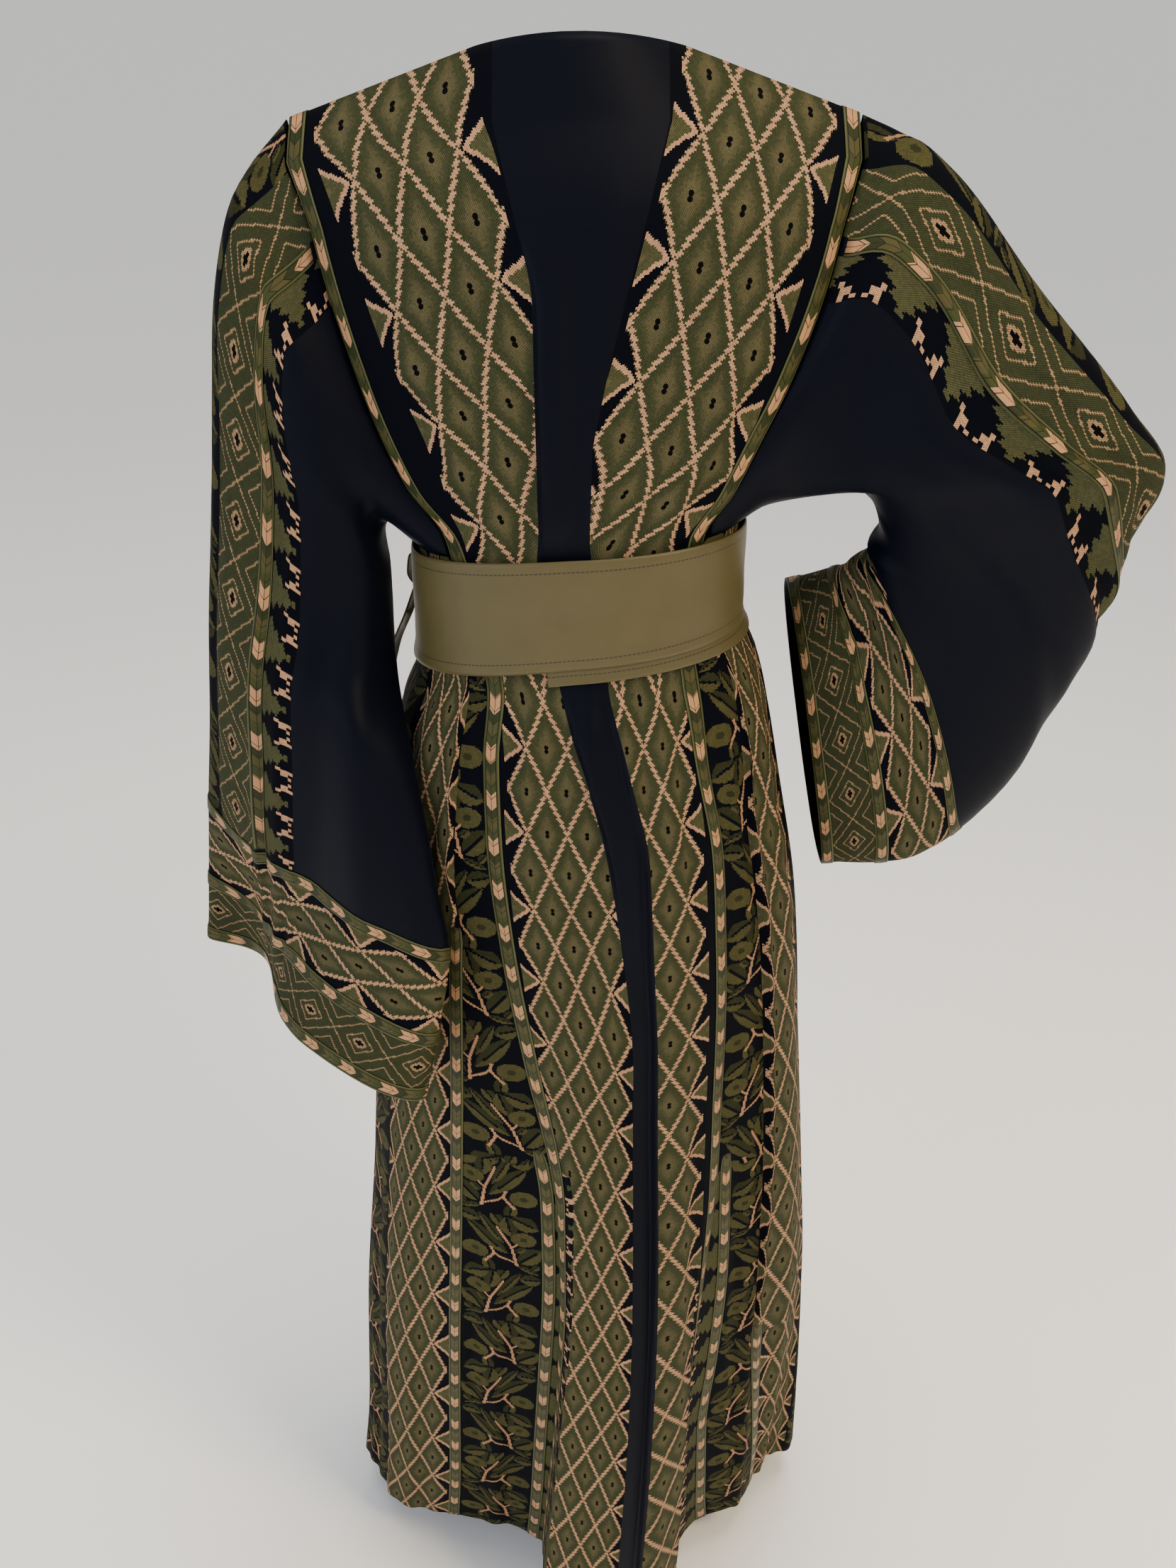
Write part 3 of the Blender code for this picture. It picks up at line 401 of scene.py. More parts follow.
# Each row is a section across the sleeve: its outer end, its inner end, how deep it bulges
# behind and in front of the line between them, how far the cloth has turned, in degrees, and
# how deep a fold runs behind it, near its outer end.
SLEEVE_COLUMNS = ("outer", "inner", "back", "front", "turn", "fold")
SLEEVES = {
    "left": (
        ((-0.243, 0.000, -0.099), (-0.148, -0.014, -0.338), 0.064, 0.062, 0, 0),
        ((-0.266, 0.000, -0.175), (-0.153, -0.026, -0.352), 0.062, 0.062, 0, 0),
        ((-0.273, 0.000, -0.234), (-0.150, -0.030, -0.372), 0.058, 0.062, 0, 0),
        ((-0.280, 0.005, -0.293), (-0.149, -0.034, -0.417), 0.056, 0.052, 0, 0),
        ((-0.287, 0.010, -0.352), (-0.146, -0.046, -0.457), 0.054, 0.044, 0, 0),
        ((-0.295, 0.015, -0.422), (-0.134, -0.084, -0.502), 0.048, 0.034, 0, 0),
        ((-0.306, 0.020, -0.513), (-0.124, -0.101, -0.552), 0.042, 0.026, 0, 0),
        ((-0.318, 0.025, -0.589), (-0.115, -0.113, -0.610), 0.038, 0.020, 0, 0.004),
        ((-0.328, 0.030, -0.664), (-0.107, -0.122, -0.668), 0.036, 0.018, 0, 0.018),
        ((-0.334, 0.030, -0.736), (-0.132, -0.126, -0.806), 0.044, 0.022, 0, 0.048),
    ),
    "right": (
        ((0.229, 0.000, -0.066), (0.140, -0.020, -0.324), 0.064, 0.060, 0, 0),
        ((0.264, 0.000, -0.090), (0.166, -0.030, -0.316), 0.060, 0.060, 0, 0),
        ((0.323, -0.020, -0.161), (0.196, -0.045, -0.308), 0.056, 0.058, 0, 0),
        ((0.398, -0.040, -0.244), (0.208, -0.050, -0.305), 0.050, 0.055, 10, 0),
        ((0.432, -0.040, -0.291), (0.221, -0.040, -0.321), 0.048, 0.055, 25, 0),
        ((0.422, -0.030, -0.341), (0.228, -0.028, -0.344), 0.048, 0.055, 50, 0),
        ((0.409, -0.020, -0.416), (0.225, -0.011, -0.364), 0.048, 0.055, 85, 0),
        ((0.385, -0.010, -0.506), (0.213, 0.005, -0.381), 0.048, 0.055, 115, 0),
        ((0.350, 0.000, -0.583), (0.200, 0.020, -0.390), 0.048, 0.055, 140, 0),
        ((0.285, 0.010, -0.647), (0.185, 0.035, -0.400), 0.050, 0.058, 165, 0),
        ((0.213, 0.040, -0.668), (0.170, 0.050, -0.410), 0.050, 0.060, 180, 0),
    ),
}
SLEEVE_SQUARE = 2.3
FOLD_MIDDLE = math.radians(57)
FOLD_HALF_WIDTH = math.radians(42)
AROUND = 240            # points round a worked-out section
ALONG = 161             # worked-out sections down a sleeve
ARMHOLE_GAP = 1.2 * MM

# Distances across the sleeve from its top line, and along it from the cuff's edge.
SLEEVE_BANDS = (0, .0225, .045, .070, .095, .108, .140)
UNDER_STEPS = 16
CUFF_BANDS = (0, .013, .055, .068, .135, .148)


def lengths(points):
    """How far along its curve each point lies."""
    steps = np.linalg.norm(np.diff(points, axis=0), axis=1)
    return np.concatenate([[0], np.cumsum(steps)])


def on_curve(points, along, at):
    """The points at the distances "at" on a curve whose own points lie at "along"."""
    return np.stack([np.interp(at, along, points[:, k]) for k in range(3)], -1)


def even(points, count):
    """The same curve with its points spaced evenly."""
    along = lengths(points)
    return on_curve(points, along, np.linspace(0, along[-1], count))


def armhole(side):
    """The sleeve's seam: down the back panel's edge, under the arm, and up the front's."""
    sign = 1 if side == "right" else -1

    def edge(line):
        """Down one panel's edge to the underarm, moved clear of the panel."""
        drops = np.linspace(0, 0.345, 40)
        for _ in range(2):
            end = armhole_drop(line_angle(line, drops[-1]))
            drops = np.linspace(0, end, 40)
        away = sign if not line.startswith("front") else -sign
        angle = line_angle(line, drops)
        gap = ARMHOLE_GAP * (1 + 2 * np.clip(1 - drops / (2 * TOP_DROP), 0, 1))
        return angle + away * gap / radius(angle, drops), drops

    back, back_drops = edge(side + "_out")
    front, front_drops = edge(f"front_{side}_out")
    under = np.linspace(back[-1], front[-1], 21)[1:-1]
    back_line = body_point(back, back_drops)
    front_line = body_point(front, front_drops)[::-1]
    under_line = body_point(under, armhole_drop(under))
    half = len(under) // 2
    first = even(np.concatenate([back_line, under_line[:half + 1]]), AROUND // 2 + 1)
    second = even(np.concatenate([under_line[half:], front_line]), AROUND // 2 + 1)
    top = (first[0] + second[-1]) / 2
    return np.concatenate([[top], first[1:], second[1:-1]])


def sleeve_section(outer, inner, back, front, fold):
    """A flattened ring through its outer and inner ends; it starts outside and runs behind."""
    outer, inner = np.array(outer), np.array(inner)
    middle, half = (outer + inner) / 2, (outer - inner) / 2
    chord = half / np.linalg.norm(half)
    deep = np.array((0.0, -1.0, 0.0))
    deep = deep - chord * (deep @ chord)
    deep = deep / np.linalg.norm(deep)
    turn = np.arange(AROUND) / AROUND * 2 * math.pi
    c, s = np.cos(turn), np.sin(turn)
    depth = np.where(s > 0, back, front)
    along = np.sign(c) * np.abs(c)**(2 / SLEEVE_SQUARE)
    across = np.sign(s) * np.abs(s)**(2 / SLEEVE_SQUARE) * depth
    across = across - fold * hill((turn - FOLD_MIDDLE) / FOLD_HALF_WIDTH)
    return middle + along[:, None] * half + across[:, None] * deep


def sleeve_surface(side):
    """Fine rings from the armhole to the cuff, and how far the cloth has turned at each."""
    rows = [dict(zip(SLEEVE_COLUMNS, row)) for row in SLEEVES[side]]
    rings = [armhole(side)]
    shape = ("outer", "inner", "back", "front", "fold")
    rings += [sleeve_section(*(row[name] for name in shape)) for row in rows]
    rings = np.array(rings)
    steps = np.linalg.norm(np.diff(rings, axis=0), axis=2).mean(axis=1)
    at = np.concatenate([[0], np.cumsum(steps)])
    fine = np.linspace(0, at[-1], ALONG)
    flat = rings.reshape(len(rings), -1)
    points = np.stack([smooth_at(fine, at, flat[:, k]) for k in range(flat.shape[1])], -1)
    turn = smooth_at(fine, at, [0] + [r["turn"] for r in rows])
    return points.reshape(ALONG, AROUND, 3), turn


def across_sleeve(ring, turn, behind):
    """Points round one ring at the band distances from its top line, then to the underside."""
    closed = np.concatenate([ring, ring, ring[:1]])
    along = lengths(closed)
    whole = along[-1] / 2
    start = np.interp((1 - turn / 360) * AROUND % AROUND, np.arange(len(closed)), along)
    rest = np.linspace(SLEEVE_BANDS[-1], whole / 2, UNDER_STEPS + 1)[1:]
    behind = np.concatenate([behind, rest])
    round_all = np.concatenate([behind, whole - behind[-2:0:-1]])
    return on_curve(closed, along, (start + round_all) % whole)


# ---- Nodes ----------------------------------------------------------------------------------

def linear(colour):
    """An sRGB hex colour as linear RGBA."""
    parts = [int(colour[k:k + 2], 16) / 255 for k in (0, 2, 4)]
    return (*(p / 12.92 if p <= 0.04045 else ((p + 0.055) / 1.055)**2.4 for p in parts), 1.0)


def add_node(tree, kind, settings=(), inputs=()):
    """Adds a node; inputs gives a socket's value, or the socket that feeds it."""
    made = tree.nodes.new(kind)
    for name, value in dict(settings).items():
        setattr(made, name, value)
    for socket, value in dict(inputs).items():
        if isinstance(value, bpy.types.NodeSocket):
            tree.links.new(value, made.inputs[socket])
        else:
            made.inputs[socket].default_value = value
    return made


def work_out(tree, known, steps):
    """Math nodes from lines of: a result's name, an operation, and its inputs."""
    for line in steps.strip().splitlines():
        result, operation, *inputs = line.split()
        values = dict(enumerate(known[word] if word in known else float(word) for word in inputs))
        made = add_node(tree, "ShaderNodeMath", {"operation": operation}, values)
        known[result] = made.outputs[0]


def paint(tree, known, ground, coats):
    """The ground colour under coats of other colours, each where its mask is 1."""
    colour = ground
    for mask, coat in coats:
        inputs = {0: known[mask], 6: colour, 7: coat}
        colour = add_node(tree, "ShaderNodeMix", {"data_type": "RGBA"}, inputs).outputs[2]
    return colour


def shade(tree, colour, amount):
    """A colour times a grey."""
    settings = {"data_type": "RGBA", "blend_type": "MULTIPLY"}
    return add_node(tree, "ShaderNodeMix", settings, {0: 1.0, 6: colour, 7: amount}).outputs[2]


def new_finish(name):
    made = bpy.data.materials.new(name)
    made.use_nodes = True
    return made, made.node_tree, made.node_tree.nodes["Principled BSDF"]


def cloth_map(tree):
    """The two values of a piece's cloth map."""
    stitches = add_node(tree, "ShaderNodeUVMap", {"uv_map": "stitches"}).outputs[0]
    return add_node(tree, "ShaderNodeSeparateXYZ", (), {0: stitches}).outputs[:2]


def finish_surface(tree, surface, colour, height, strength, depth, values):
    """Gives a surface its colour, a relief of depth millimetres, and its plain values."""
    tree.links.new(colour, surface.inputs["Base Color"])
    inputs = {"Strength": strength, "Distance": depth * MM, "Height": height}
    bump = add_node(tree, "ShaderNodeBump", (), inputs)
    tree.links.new(bump.outputs[0], surface.inputs["Normal"])
    for name, value in values.items():
        surface.inputs[name].default_value = value


# ---- Finishes -------------------------------------------------------------------------------

INK = linear("05070f")          # the crepe ground, a blue black
LEAF_DARK = linear("393d28")
LEAF_OLIVE = linear("494930")
GOLD_OLIVE = linear("585239")
PEACH = linear("b58c6c")
PEACH_DULL = linear("96795a")
STITCH_HOLE = linear("060607")

# Cotton cross-stitch: the cloth map counts stitches, and each shows its two crossed threads.
STITCH = """
col FLOOR u
row FLOOR v
cu ADD col 0.5
cv ADD row 0.5
fu SUBTRACT u cu
fv SUBTRACT v cv
fu ABSOLUTE fu
fv ABSOLUTE fv
off SUBTRACT fu fv
off ABSOLUTE off
arm MULTIPLY_ADD off -2.6 1.15
relief MAXIMUM arm 0.0
relief MINIMUM relief 1.0
"""

# Diamonds in a lattice, 25 stitches wide and 52 tall, with a fan in each notch of its edges.
DIAMOND_HEIGHT = 52
LATTICE = """
x FLOORED_MODULO cu 25
x SUBTRACT x 12.5
x ABSOLUTE x
y FLOORED_MODULO cv 52
y SUBTRACT y 26
y ABSOLUTE y
e MULTIPLY_ADD x 2.08 y
edge SUBTRACT e 26
line ABSOLUTE edge
bump ADD col row
bump FLOORED_MODULO bump 2
bump MULTIPLY_ADD bump 2.1 1.3
line LESS_THAN line bump
far SUBTRACT 52 e
depth MINIMUM e far
dx FLOORED_MODULO u 12.5
dx PINGPONG dx 6.25
dy FLOORED_MODULO v 26
dy PINGPONG dy 13
dx MULTIPLY dx dx
waist SUBTRACT dy 1.2
waist MULTIPLY waist waist
dx ADD dx waist
dot LESS_THAN dx 1.7
near LESS_THAN depth 7
dot MULTIPLY dot near
inner MULTIPLY_ADD speck -9 20
inner SUBTRACT inner depth
inner MULTIPLY inner 0.13
inner MAXIMUM inner 0
inner MINIMUM inner 1
half SUBTRACT cu middle
half ABSOLUTE half
a SUBTRACT half notch
outside GREATER_THAN a 0
beyond GREATER_THAN edge 3.3
outside MULTIPLY outside beyond
past GREATER_THAN a 13.2
outside MAXIMUM outside past
lattice SUBTRACT 1 outside
t SUBTRACT a 1.5
z SUBTRACT 26 y
room MULTIPLY_ADD t 0.786 z
room SUBTRACT room z
room SUBTRACT room z
fan GREATER_THAN room 0
flat LESS_THAN a 15.6
fan MULTIPLY fan flat
fan MULTIPLY fan outside
rim LESS_THAN room 2.8
rim MULTIPLY rim fan
heart GREATER_THAN room 9
heart MULTIPLY heart fan
line MULTIPLY line lattice
inner MULTIPLY inner lattice
inner MAXIMUM inner heart
dot MULTIPLY dot lattice
line MAXIMUM line rim
stitched MAXIMUM lattice fan
"""
LATTICE_COATS = (("stitched", LEAF_DARK), ("fan", LEAF_OLIVE), ("inner", GOLD_OLIVE),
                 ("line", PEACH), ("dot", STITCH_HOLE))

# Nested diamonds on an olive ground, 34 stitches across and 40 along.
NEST_WIDTH, NEST_HEIGHT = 34, 40
NESTED = """
x SUBTRACT cu 17
x ABSOLUTE x
y FLOORED_MODULO cv 40
y SUBTRACT y 20
y ABSOLUTE y
e MULTIPLY_ADD x 1.176 y
ring PINGPONG e 5
tone DIVIDE e 10
tone FLOOR tone
tone FLOORED_MODULO tone 2
line LESS_THAN ring 0.62
spaced FLOORED_MODULO row 2
spaced LESS_THAN spaced 1.5
line MULTIPLY line spaced
centre GREATER_THAN e 4
line MULTIPLY line centre
dotted LESS_THAN e 5.6
line MAXIMUM line dotted
dot LESS_THAN e 3.2
stitched LESS_THAN x 17
"""
NESTED_COATS = (("stitched", linear("40422c")), ("tone", linear("363a26")),
                ("line", PEACH_DULL), ("dot", STITCH_HOLE))

# Lobed cypress trees, one every 30 stitches, that grow away from the braid over a band 22
# stitches wide, with a small peach figure between.
TREE_WIDTH, TREE_HEIGHT = 22, 30
CYPRESS = """
y FLOORED_MODULO cv 30
y SUBTRACT y 15
y ABSOLUTE y
lobe FLOORED_MODULO cu 5.5
lobe SUBTRACT lobe 2.4
lobe ABSOLUTE lobe
w MULTIPLY_ADD cu -0.62 14.5
w MULTIPLY_ADD lobe -1.5 w
tree LESS_THAN y w
tip LESS_THAN cu 19
tree MULTIPLY tree tip
a SUBTRACT 15 y
b SUBTRACT cu 17
block SUBTRACT a 5
block ABSOLUTE block
deep ABSOLUTE b
block MAXIMUM block deep
block LESS_THAN block 2.4
spike SUBTRACT a 7
spike ABSOLUTE spike
high ADD b 3.5
high ABSOLUTE high
spike MAXIMUM spike high
spike LESS_THAN spike 1.4
foot SUBTRACT a 6
foot ABSOLUTE foot
low SUBTRACT b 3.5
low ABSOLUTE low
foot MAXIMUM foot low
foot LESS_THAN foot 1.3
toe SUBTRACT a 2
toe ABSOLUTE toe
near SUBTRACT b 3
near ABSOLUTE near
toe MAXIMUM toe near
toe LESS_THAN toe 1.4
cross MAXIMUM block spike
cross MAXIMUM cross foot
cross MAXIMUM cross toe
stitched MAXIMUM tree cross
"""
CYPRESS_COATS = (("tree", LEAF_OLIVE), ("cross", PEACH))

# One half of the olive branch's repeat, in stitches from its middle and its top; the other
# half is its mirror image.
BRANCH_WIDTH, BRANCH_HEIGHT = 62, 56
BRANCH = {
    "columns": ("kind", "x", "y", "half_length", "half_width", "turn"),
    "rows": (
        ("leaf", -9.5, 24, 21, 5.8, 43),
        ("leaf", -6, 14, 17, 3.6, 57),
        ("leaf", -1, 4, 9, 4.6, 60),
        ("leaf", 7, 11, 10, 6.6, 80),
        ("olive", 17.5, 22, 9.5, 6.6, -10),
        ("leaf", 22, 38, 13, 7.2, -44),
        ("leaf", 15, 33, 5, 2.8, -35),
        ("olive", -19, 39, 10, 7.2, 4),
        ("leaf", 19, 6, 11, 7.6, 22),
        ("leaf", -22, 6, 9, 5.6, 15),
        ("leaf", 20, 52, 9, 2.4, 18),
        ("leaf", 26, 48, 4, 2.6, -40),
        ("leaf", -9, 52, 9, 5.0, 78),
        ("stem", 1.2, 17.2, 6.6, 0.8, 63),
        ("stem", 6.3, 27.9, 5.5, 0.9, 65),
        ("stem", 10.2, 41.4, 8.8, 1.1, 79),
        ("stem", 10.7, 29.7, 3.0, 0.8, -47),
        ("stem", 5.5, 44.6, 6.8, 0.8, 26),
        ("stem", -2.8, 40.0, 3.0, 0.8, 38),
        ("stem", -5.6, 36.0, 3.4, 1.0, 70),
        ("stem", -8.4, 44.4, 6.4, 1.0, -53),
    ),
}
BRANCH_START = f"""
tall DIVIDE cv {BRANCH_HEIGHT}
tall FLOOR tall
flip FLOORED_MODULO tall 2
flip MULTIPLY_ADD flip -2 1
x SUBTRACT cu {BRANCH_WIDTH / 2}
x MULTIPLY x flip
y FLOORED_MODULO cv {BRANCH_HEIGHT}
leaves ADD 0 0
light ADD 0 0
stems ADD 0 0
"""
LEAF_SHAPE = """
round MULTIPLY px px
wide ABSOLUTE py
room ADD round wide
shape LESS_THAN room 1
rib LESS_THAN wide 0.13
tip LESS_THAN px 0.55
rib MULTIPLY rib tip
rib SUBTRACT 1 rib
shape MULTIPLY shape rib
upper GREATER_THAN py 0
upper MULTIPLY upper shape
leaves MAXIMUM leaves shape
light MAXIMUM light upper
"""
OLIVE_SHAPE = """
round MULTIPLY px px
wide MULTIPLY py py
room ADD round wide
shape LESS_THAN room 1
rib LESS_THAN room 0.10
upper SUBTRACT shape rib
leaves MAXIMUM leaves shape
light MAXIMUM light upper
"""
STEM_SHAPE = """
round ABSOLUTE px
wide ABSOLUTE py
room MAXIMUM round wide
shape LESS_THAN room 1
stems MAXIMUM stems shape
"""
SHAPES = {"leaf": LEAF_SHAPE, "olive": OLIVE_SHAPE, "stem": STEM_SHAPE}
BRANCH_COATS = (("leaves", linear("2e2f1c")), ("light", linear("494629")),
                ("stems", linear("a9805f")))


def draw_branch(tree, known):
    work_out(tree, known, BRANCH_START)
    place = add_node(tree, "ShaderNodeCombineXYZ", (), {0: known["x"], 1: known["y"]}).outputs[0]
    for kind, x, y, half_length, half_width, turn in BRANCH["rows"]:
        inputs = {"Vector": place, "Location": (x, y, 0), "Rotation": (0, 0, math.radians(turn)),
                  "Scale": (half_length, half_width, 1)}
        local = add_node(tree, "ShaderNodeMapping", {"vector_type": "TEXTURE"}, inputs).outputs[0]
        split = add_node(tree, "ShaderNodeSeparateXYZ", (), {0: local})
        known["px"], known["py"] = split.outputs[0], split.outputs[1]
        work_out(tree, known, SHAPES[kind])
    work_out(tree, known, "stitched MAXIMUM leaves stems")


def crepe_bump(tree):
    """The fine pebbled face of crepe: a crinkle of about 1 mm."""
    place = add_node(tree, "ShaderNodeTexCoord").outputs["Object"]
    inputs = {"Vector": place, "Scale": 900.0, "Detail": 2.0}
    return add_node(tree, "ShaderNodeTexNoise", (), inputs)


def embroidered(name, draw, coats, **sizes):
    """Cotton cross-stitch on crepe: matt, ridged and faintly furry where it is stitched."""
    made, tree, cloth = new_finish(name)
    known = dict(zip("uv", cloth_map(tree)), **sizes)
    work_out(tree, known, STITCH)
    cell = {0: known["col"], 1: known["row"]}
    place = {"Vector": add_node(tree, "ShaderNodeCombineXYZ", (), cell).outputs[0]}
    speck = add_node(tree, "ShaderNodeTexWhiteNoise", {"noise_dimensions": "2D"}, place)
    drift = add_node(tree, "ShaderNodeTexNoise", (), {**place, "Scale": 0.06, "Detail": 1.0})
    known["speck"], known["drift"] = speck.outputs["Value"], drift.outputs[0]
    if callable(draw):
        draw(tree, known)
    else:
        work_out(tree, known, draw)
    known["grain"] = crepe_bump(tree).outputs[0]
    # Where stitched, the colour is multiplied by each stitch's relief and by a random thread tone.
    # It is darkest between the crossed threads: partly the dark ground that shows there, and partly
    # painted shade on the sides of the raised threads.
    work_out(tree, known, """
tone MULTIPLY_ADD speck 0.30 0.74
tone MULTIPLY_ADD drift 0.34 tone
tone SUBTRACT tone 0.08
thread MULTIPLY_ADD relief 1.15 0.14
thread MULTIPLY thread tone
thread SUBTRACT thread 1
thread MULTIPLY_ADD thread stitched 1
raised MULTIPLY_ADD relief 0.8 0.5
raised MULTIPLY raised stitched
height MULTIPLY_ADD grain 0.10 raised
""")
    # The stitches' painted shade from their relief goes into the colour here.
    colour = shade(tree, paint(tree, known, INK, coats), known["thread"])
    finish_surface(tree, cloth, colour, known["height"], 0.55, 0.5, {
        "Roughness": 0.75, "Specular IOR Level": 0.04, "Sheen Weight": 0.01,
        "Sheen Roughness": 0.5, "Sheen Tint": linear("cfc3a0")})
    return made


def crepe(name, colour, sheen):
    """Polyester crepe, woven of twisted yarn: near black, with a soft bluish bloom."""
    made, tree, cloth = new_finish(name)
    known = {"grain": crepe_bump(tree).outputs[0]}
    work_out(tree, known, "tone MULTIPLY_ADD grain 0.5 0.75")
    colour = shade(tree, linear(colour), known["tone"])
    finish_surface(tree, cloth, colour, known["grain"], 0.25, 0.15, {
        "Roughness": 0.50, "Specular IOR Level": 0.07, "Sheen Weight": sheen,
        "Sheen Roughness": 0.45, "Sheen Tint": linear("8d97b4")})
    return made


def braid_finish():
    """Rayon braid: satin-stitched feathers, peach then three greens, between olive piping."""
    made, tree, cloth = new_finish("braid_rayon_satin_stitch")
    known = dict(zip("uv", cloth_map(tree)))
    work_out(tree, known, """
ua ABSOLUTE u
p MULTIPLY_ADD ua 0.0150 v
s FLOORED_MODULO p 0.040
first LESS_THAN s 0.0135
third GREATER_THAN s 0.0215
last GREATER_THAN s 0.0310
piping GREATER_THAN ua 0.33
lit GREATER_THAN ua 0.42
gap COMPARE ua 0.33 0.026
rim GREATER_THAN ua 0.485
gap MAXIMUM gap rim
spine LESS_THAN ua 0.016
edge FLOORED_MODULO p 0.0103
edge LESS_THAN edge 0.0007
spine MAXIMUM spine edge
q MULTIPLY_ADD ua 0.0160 v
q MULTIPLY q 8400
thread SINE q
r MULTIPLY v 5200
twist SINE r
""")
    # From the piping's crest to its edge, where lit marks it, the piping is painted lighter: a
    # painted highlight on its raised crest.
    colour = paint(tree, known, linear("2f341a"), (
        ("first", linear("be8f66")), ("third", linear("4e4929")), ("last", linear("3d4221")),
        ("spine", linear("1d1f10")), ("piping", linear("434626")), ("lit", linear("575a35")),
        ("gap", linear("0d0e08"))))
    work_out(tree, known, """
mixed SUBTRACT twist thread
mixed MULTIPLY_ADD mixed piping thread
tone MULTIPLY_ADD mixed 0.12 0.93
height MULTIPLY_ADD mixed 0.3 0.5
sunk SUBTRACT height gap
""")
    colour = shade(tree, colour, known["tone"])
    finish_surface(tree, cloth, colour, known["sunk"], 0.4, 0.25,
                   {"Roughness": 0.50, "Specular IOR Level": 0.14})
    return made


def satin_finish(name, colour, seam):
    """Polyester satin: long floats that shine along the belt, over a fine cross rib, with a
    row of dark top-stitching near each edge."""
    made, tree, cloth = new_finish(name)
    known = dict(zip(("edge", "along"), cloth_map(tree)), seam=seam)
    place = add_node(tree, "ShaderNodeTexCoord").outputs["Object"]
    slub = add_node(tree, "ShaderNodeTexNoise", (), {"Vector": place, "Scale": 45.0, "Detail": 3.0})
    known["slub"], known["fine"] = slub.outputs[0], crepe_bump(tree).outputs[0]
    work_out(tree, known, """
rib MULTIPLY edge 9
rib SINE rib
rib MULTIPLY_ADD rib 0.25 fine
row COMPARE edge seam 0.45
dash FLOORED_MODULO along 0.0034
dash LESS_THAN dash 0.0025
row MULTIPLY row dash
tone MULTIPLY_ADD slub 0.22 0.86
tone MULTIPLY_ADD rib 0.05 tone
dark MULTIPLY_ADD row -0.72 1
tone MULTIPLY tone dark
groove COMPARE edge seam 0.9
height MULTIPLY_ADD groove -1.4 rib
""")
    colour = shade(tree, linear(colour), known["tone"])
    finish_surface(tree, cloth, colour, known["height"], 0.3, 0.2, {
        "Roughness": 0.40, "Specular IOR Level": 0.4, "Anisotropic": 0.5,
        "Sheen Weight": 0.06, "Sheen Tint": linear("efe2ae")})
    return made


CREPE = crepe("crepe_polyester_woven", "060914", 0.02)
REVERSE = crepe("crepe_reverse", "05060b", 0.02)
BODY_LATTICE = embroidered("cross_stitch_diamonds", LATTICE, LATTICE_COATS,
                           middle=37.5, notch=25.0)
CUFF_LATTICE = embroidered("cross_stitch_cuff_diamonds", LATTICE, LATTICE_COATS,
                           middle=25.0, notch=12.5)
OLIVE_BRANCH = embroidered("cross_stitch_olive_branch", draw_branch, BRANCH_COATS)
NESTED_DIAMONDS = embroidered("cross_stitch_nested_diamonds", NESTED, NESTED_COATS)
CYPRESSES = embroidered("cross_stitch_cypresses", CYPRESS, CYPRESS_COATS)
BRAID_FINISH = braid_finish()
SATIN = satin_finish("belt_polyester_satin", "544b29", 8.0)
TIE_SATIN = satin_finish("tie_polyester_satin", "57502a", 2.0)
FINISHES = (CREPE, BODY_LATTICE, CUFF_LATTICE, OLIVE_BRANCH, NESTED_DIAMONDS, CYPRESSES, REVERSE)
PLAIN, DIAMONDS, CUFF_DIAMONDS, BRANCHES, NESTS, TREES = range(len(FINISHES) - 1)


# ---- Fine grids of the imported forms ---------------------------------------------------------

BACK_ROWS = np.concatenate([np.linspace(0, .05, 9), np.linspace(.056, .36, 52),
                            np.linspace(.367, HEM_DROP, 160)])
SIDE_ROWS = np.concatenate([np.linspace(.345, .37, 6), np.linspace(.376, HEM_DROP, 158)])


def lap_low(line, drop):
    """The foot of a lap's step."""
    lap = next(row for row in LAPS if row["line"] == line)
    angle = line_angle(line, drop)
    return angle - lap["raised"] * lap_step(line, drop) / radius(angle, drop)


def back_lines(drops):
    return [seam_shift("left_out", drops, 1), line_angle("left_in", drops),
            line_angle("left_fold", drops), lap_low("black_left", drops),
            line_angle("black_left", drops), lap_low("black_right", drops),
            line_angle("black_right", drops), line_angle("right_fold", drops),
            line_angle("right_in", drops), seam_shift("right_out", drops, -1)]


def front_lines(drops):
    around = 2 * math.pi
    return [seam_shift("front_right_out", drops, 1), line_angle("front_right_in", drops),
            line_angle("front_right_black", drops), around + line_angle("front_left_black", drops),
            around + line_angle("front_left_in", drops),
            around + seam_shift("front_left_out", drops, -1)]


def side_lines(side, drops):
    """Lines down a side panel, from its back seam round to its front seam."""
    sign = 1 if side == "right" else -1

    def edges(line):
        angle = line_angle(line, drops)
        reach = sign * tape_half(line, drops) / radius(angle, drops)
        return [angle - reach, angle + reach]

    back_leaf, back_side = edges(side + "_leaf"), edges(side + "_side")
    front_side, front_leaf = edges(f"front_{side}_side"), edges(f"front_{side}_leaf")
    first, last = (np.full(len(drops), math.radians(turn)) for turn in SIDE_LEAVES[side])
    return [seam_shift(side + "_out", drops, sign), *back_leaf, *back_side, first, last,
            *front_side, *front_leaf, seam_shift(f"front_{side}_out", drops, -sign)]


# ---- Cloth maps -----------------------------------------------------------------------------

# One stitch of each repeat, from the repeat's height on the cloth.
BRANCH_STITCH = 75 * MM / BRANCH_HEIGHT
NESTED_STITCH = 60 * MM / NEST_HEIGHT
CYPRESS_STITCH = 45 * MM / TREE_HEIGHT


def across(lines, first, last, start, end, columns):
    """A map value that runs from start to end between two columns; lines down may differ."""
    share = (np.arange(columns) - first) / (last - first)
    start, end = (np.broadcast_to(v, lines)[:, None] for v in (start, end))
    return start + (end - start) * share


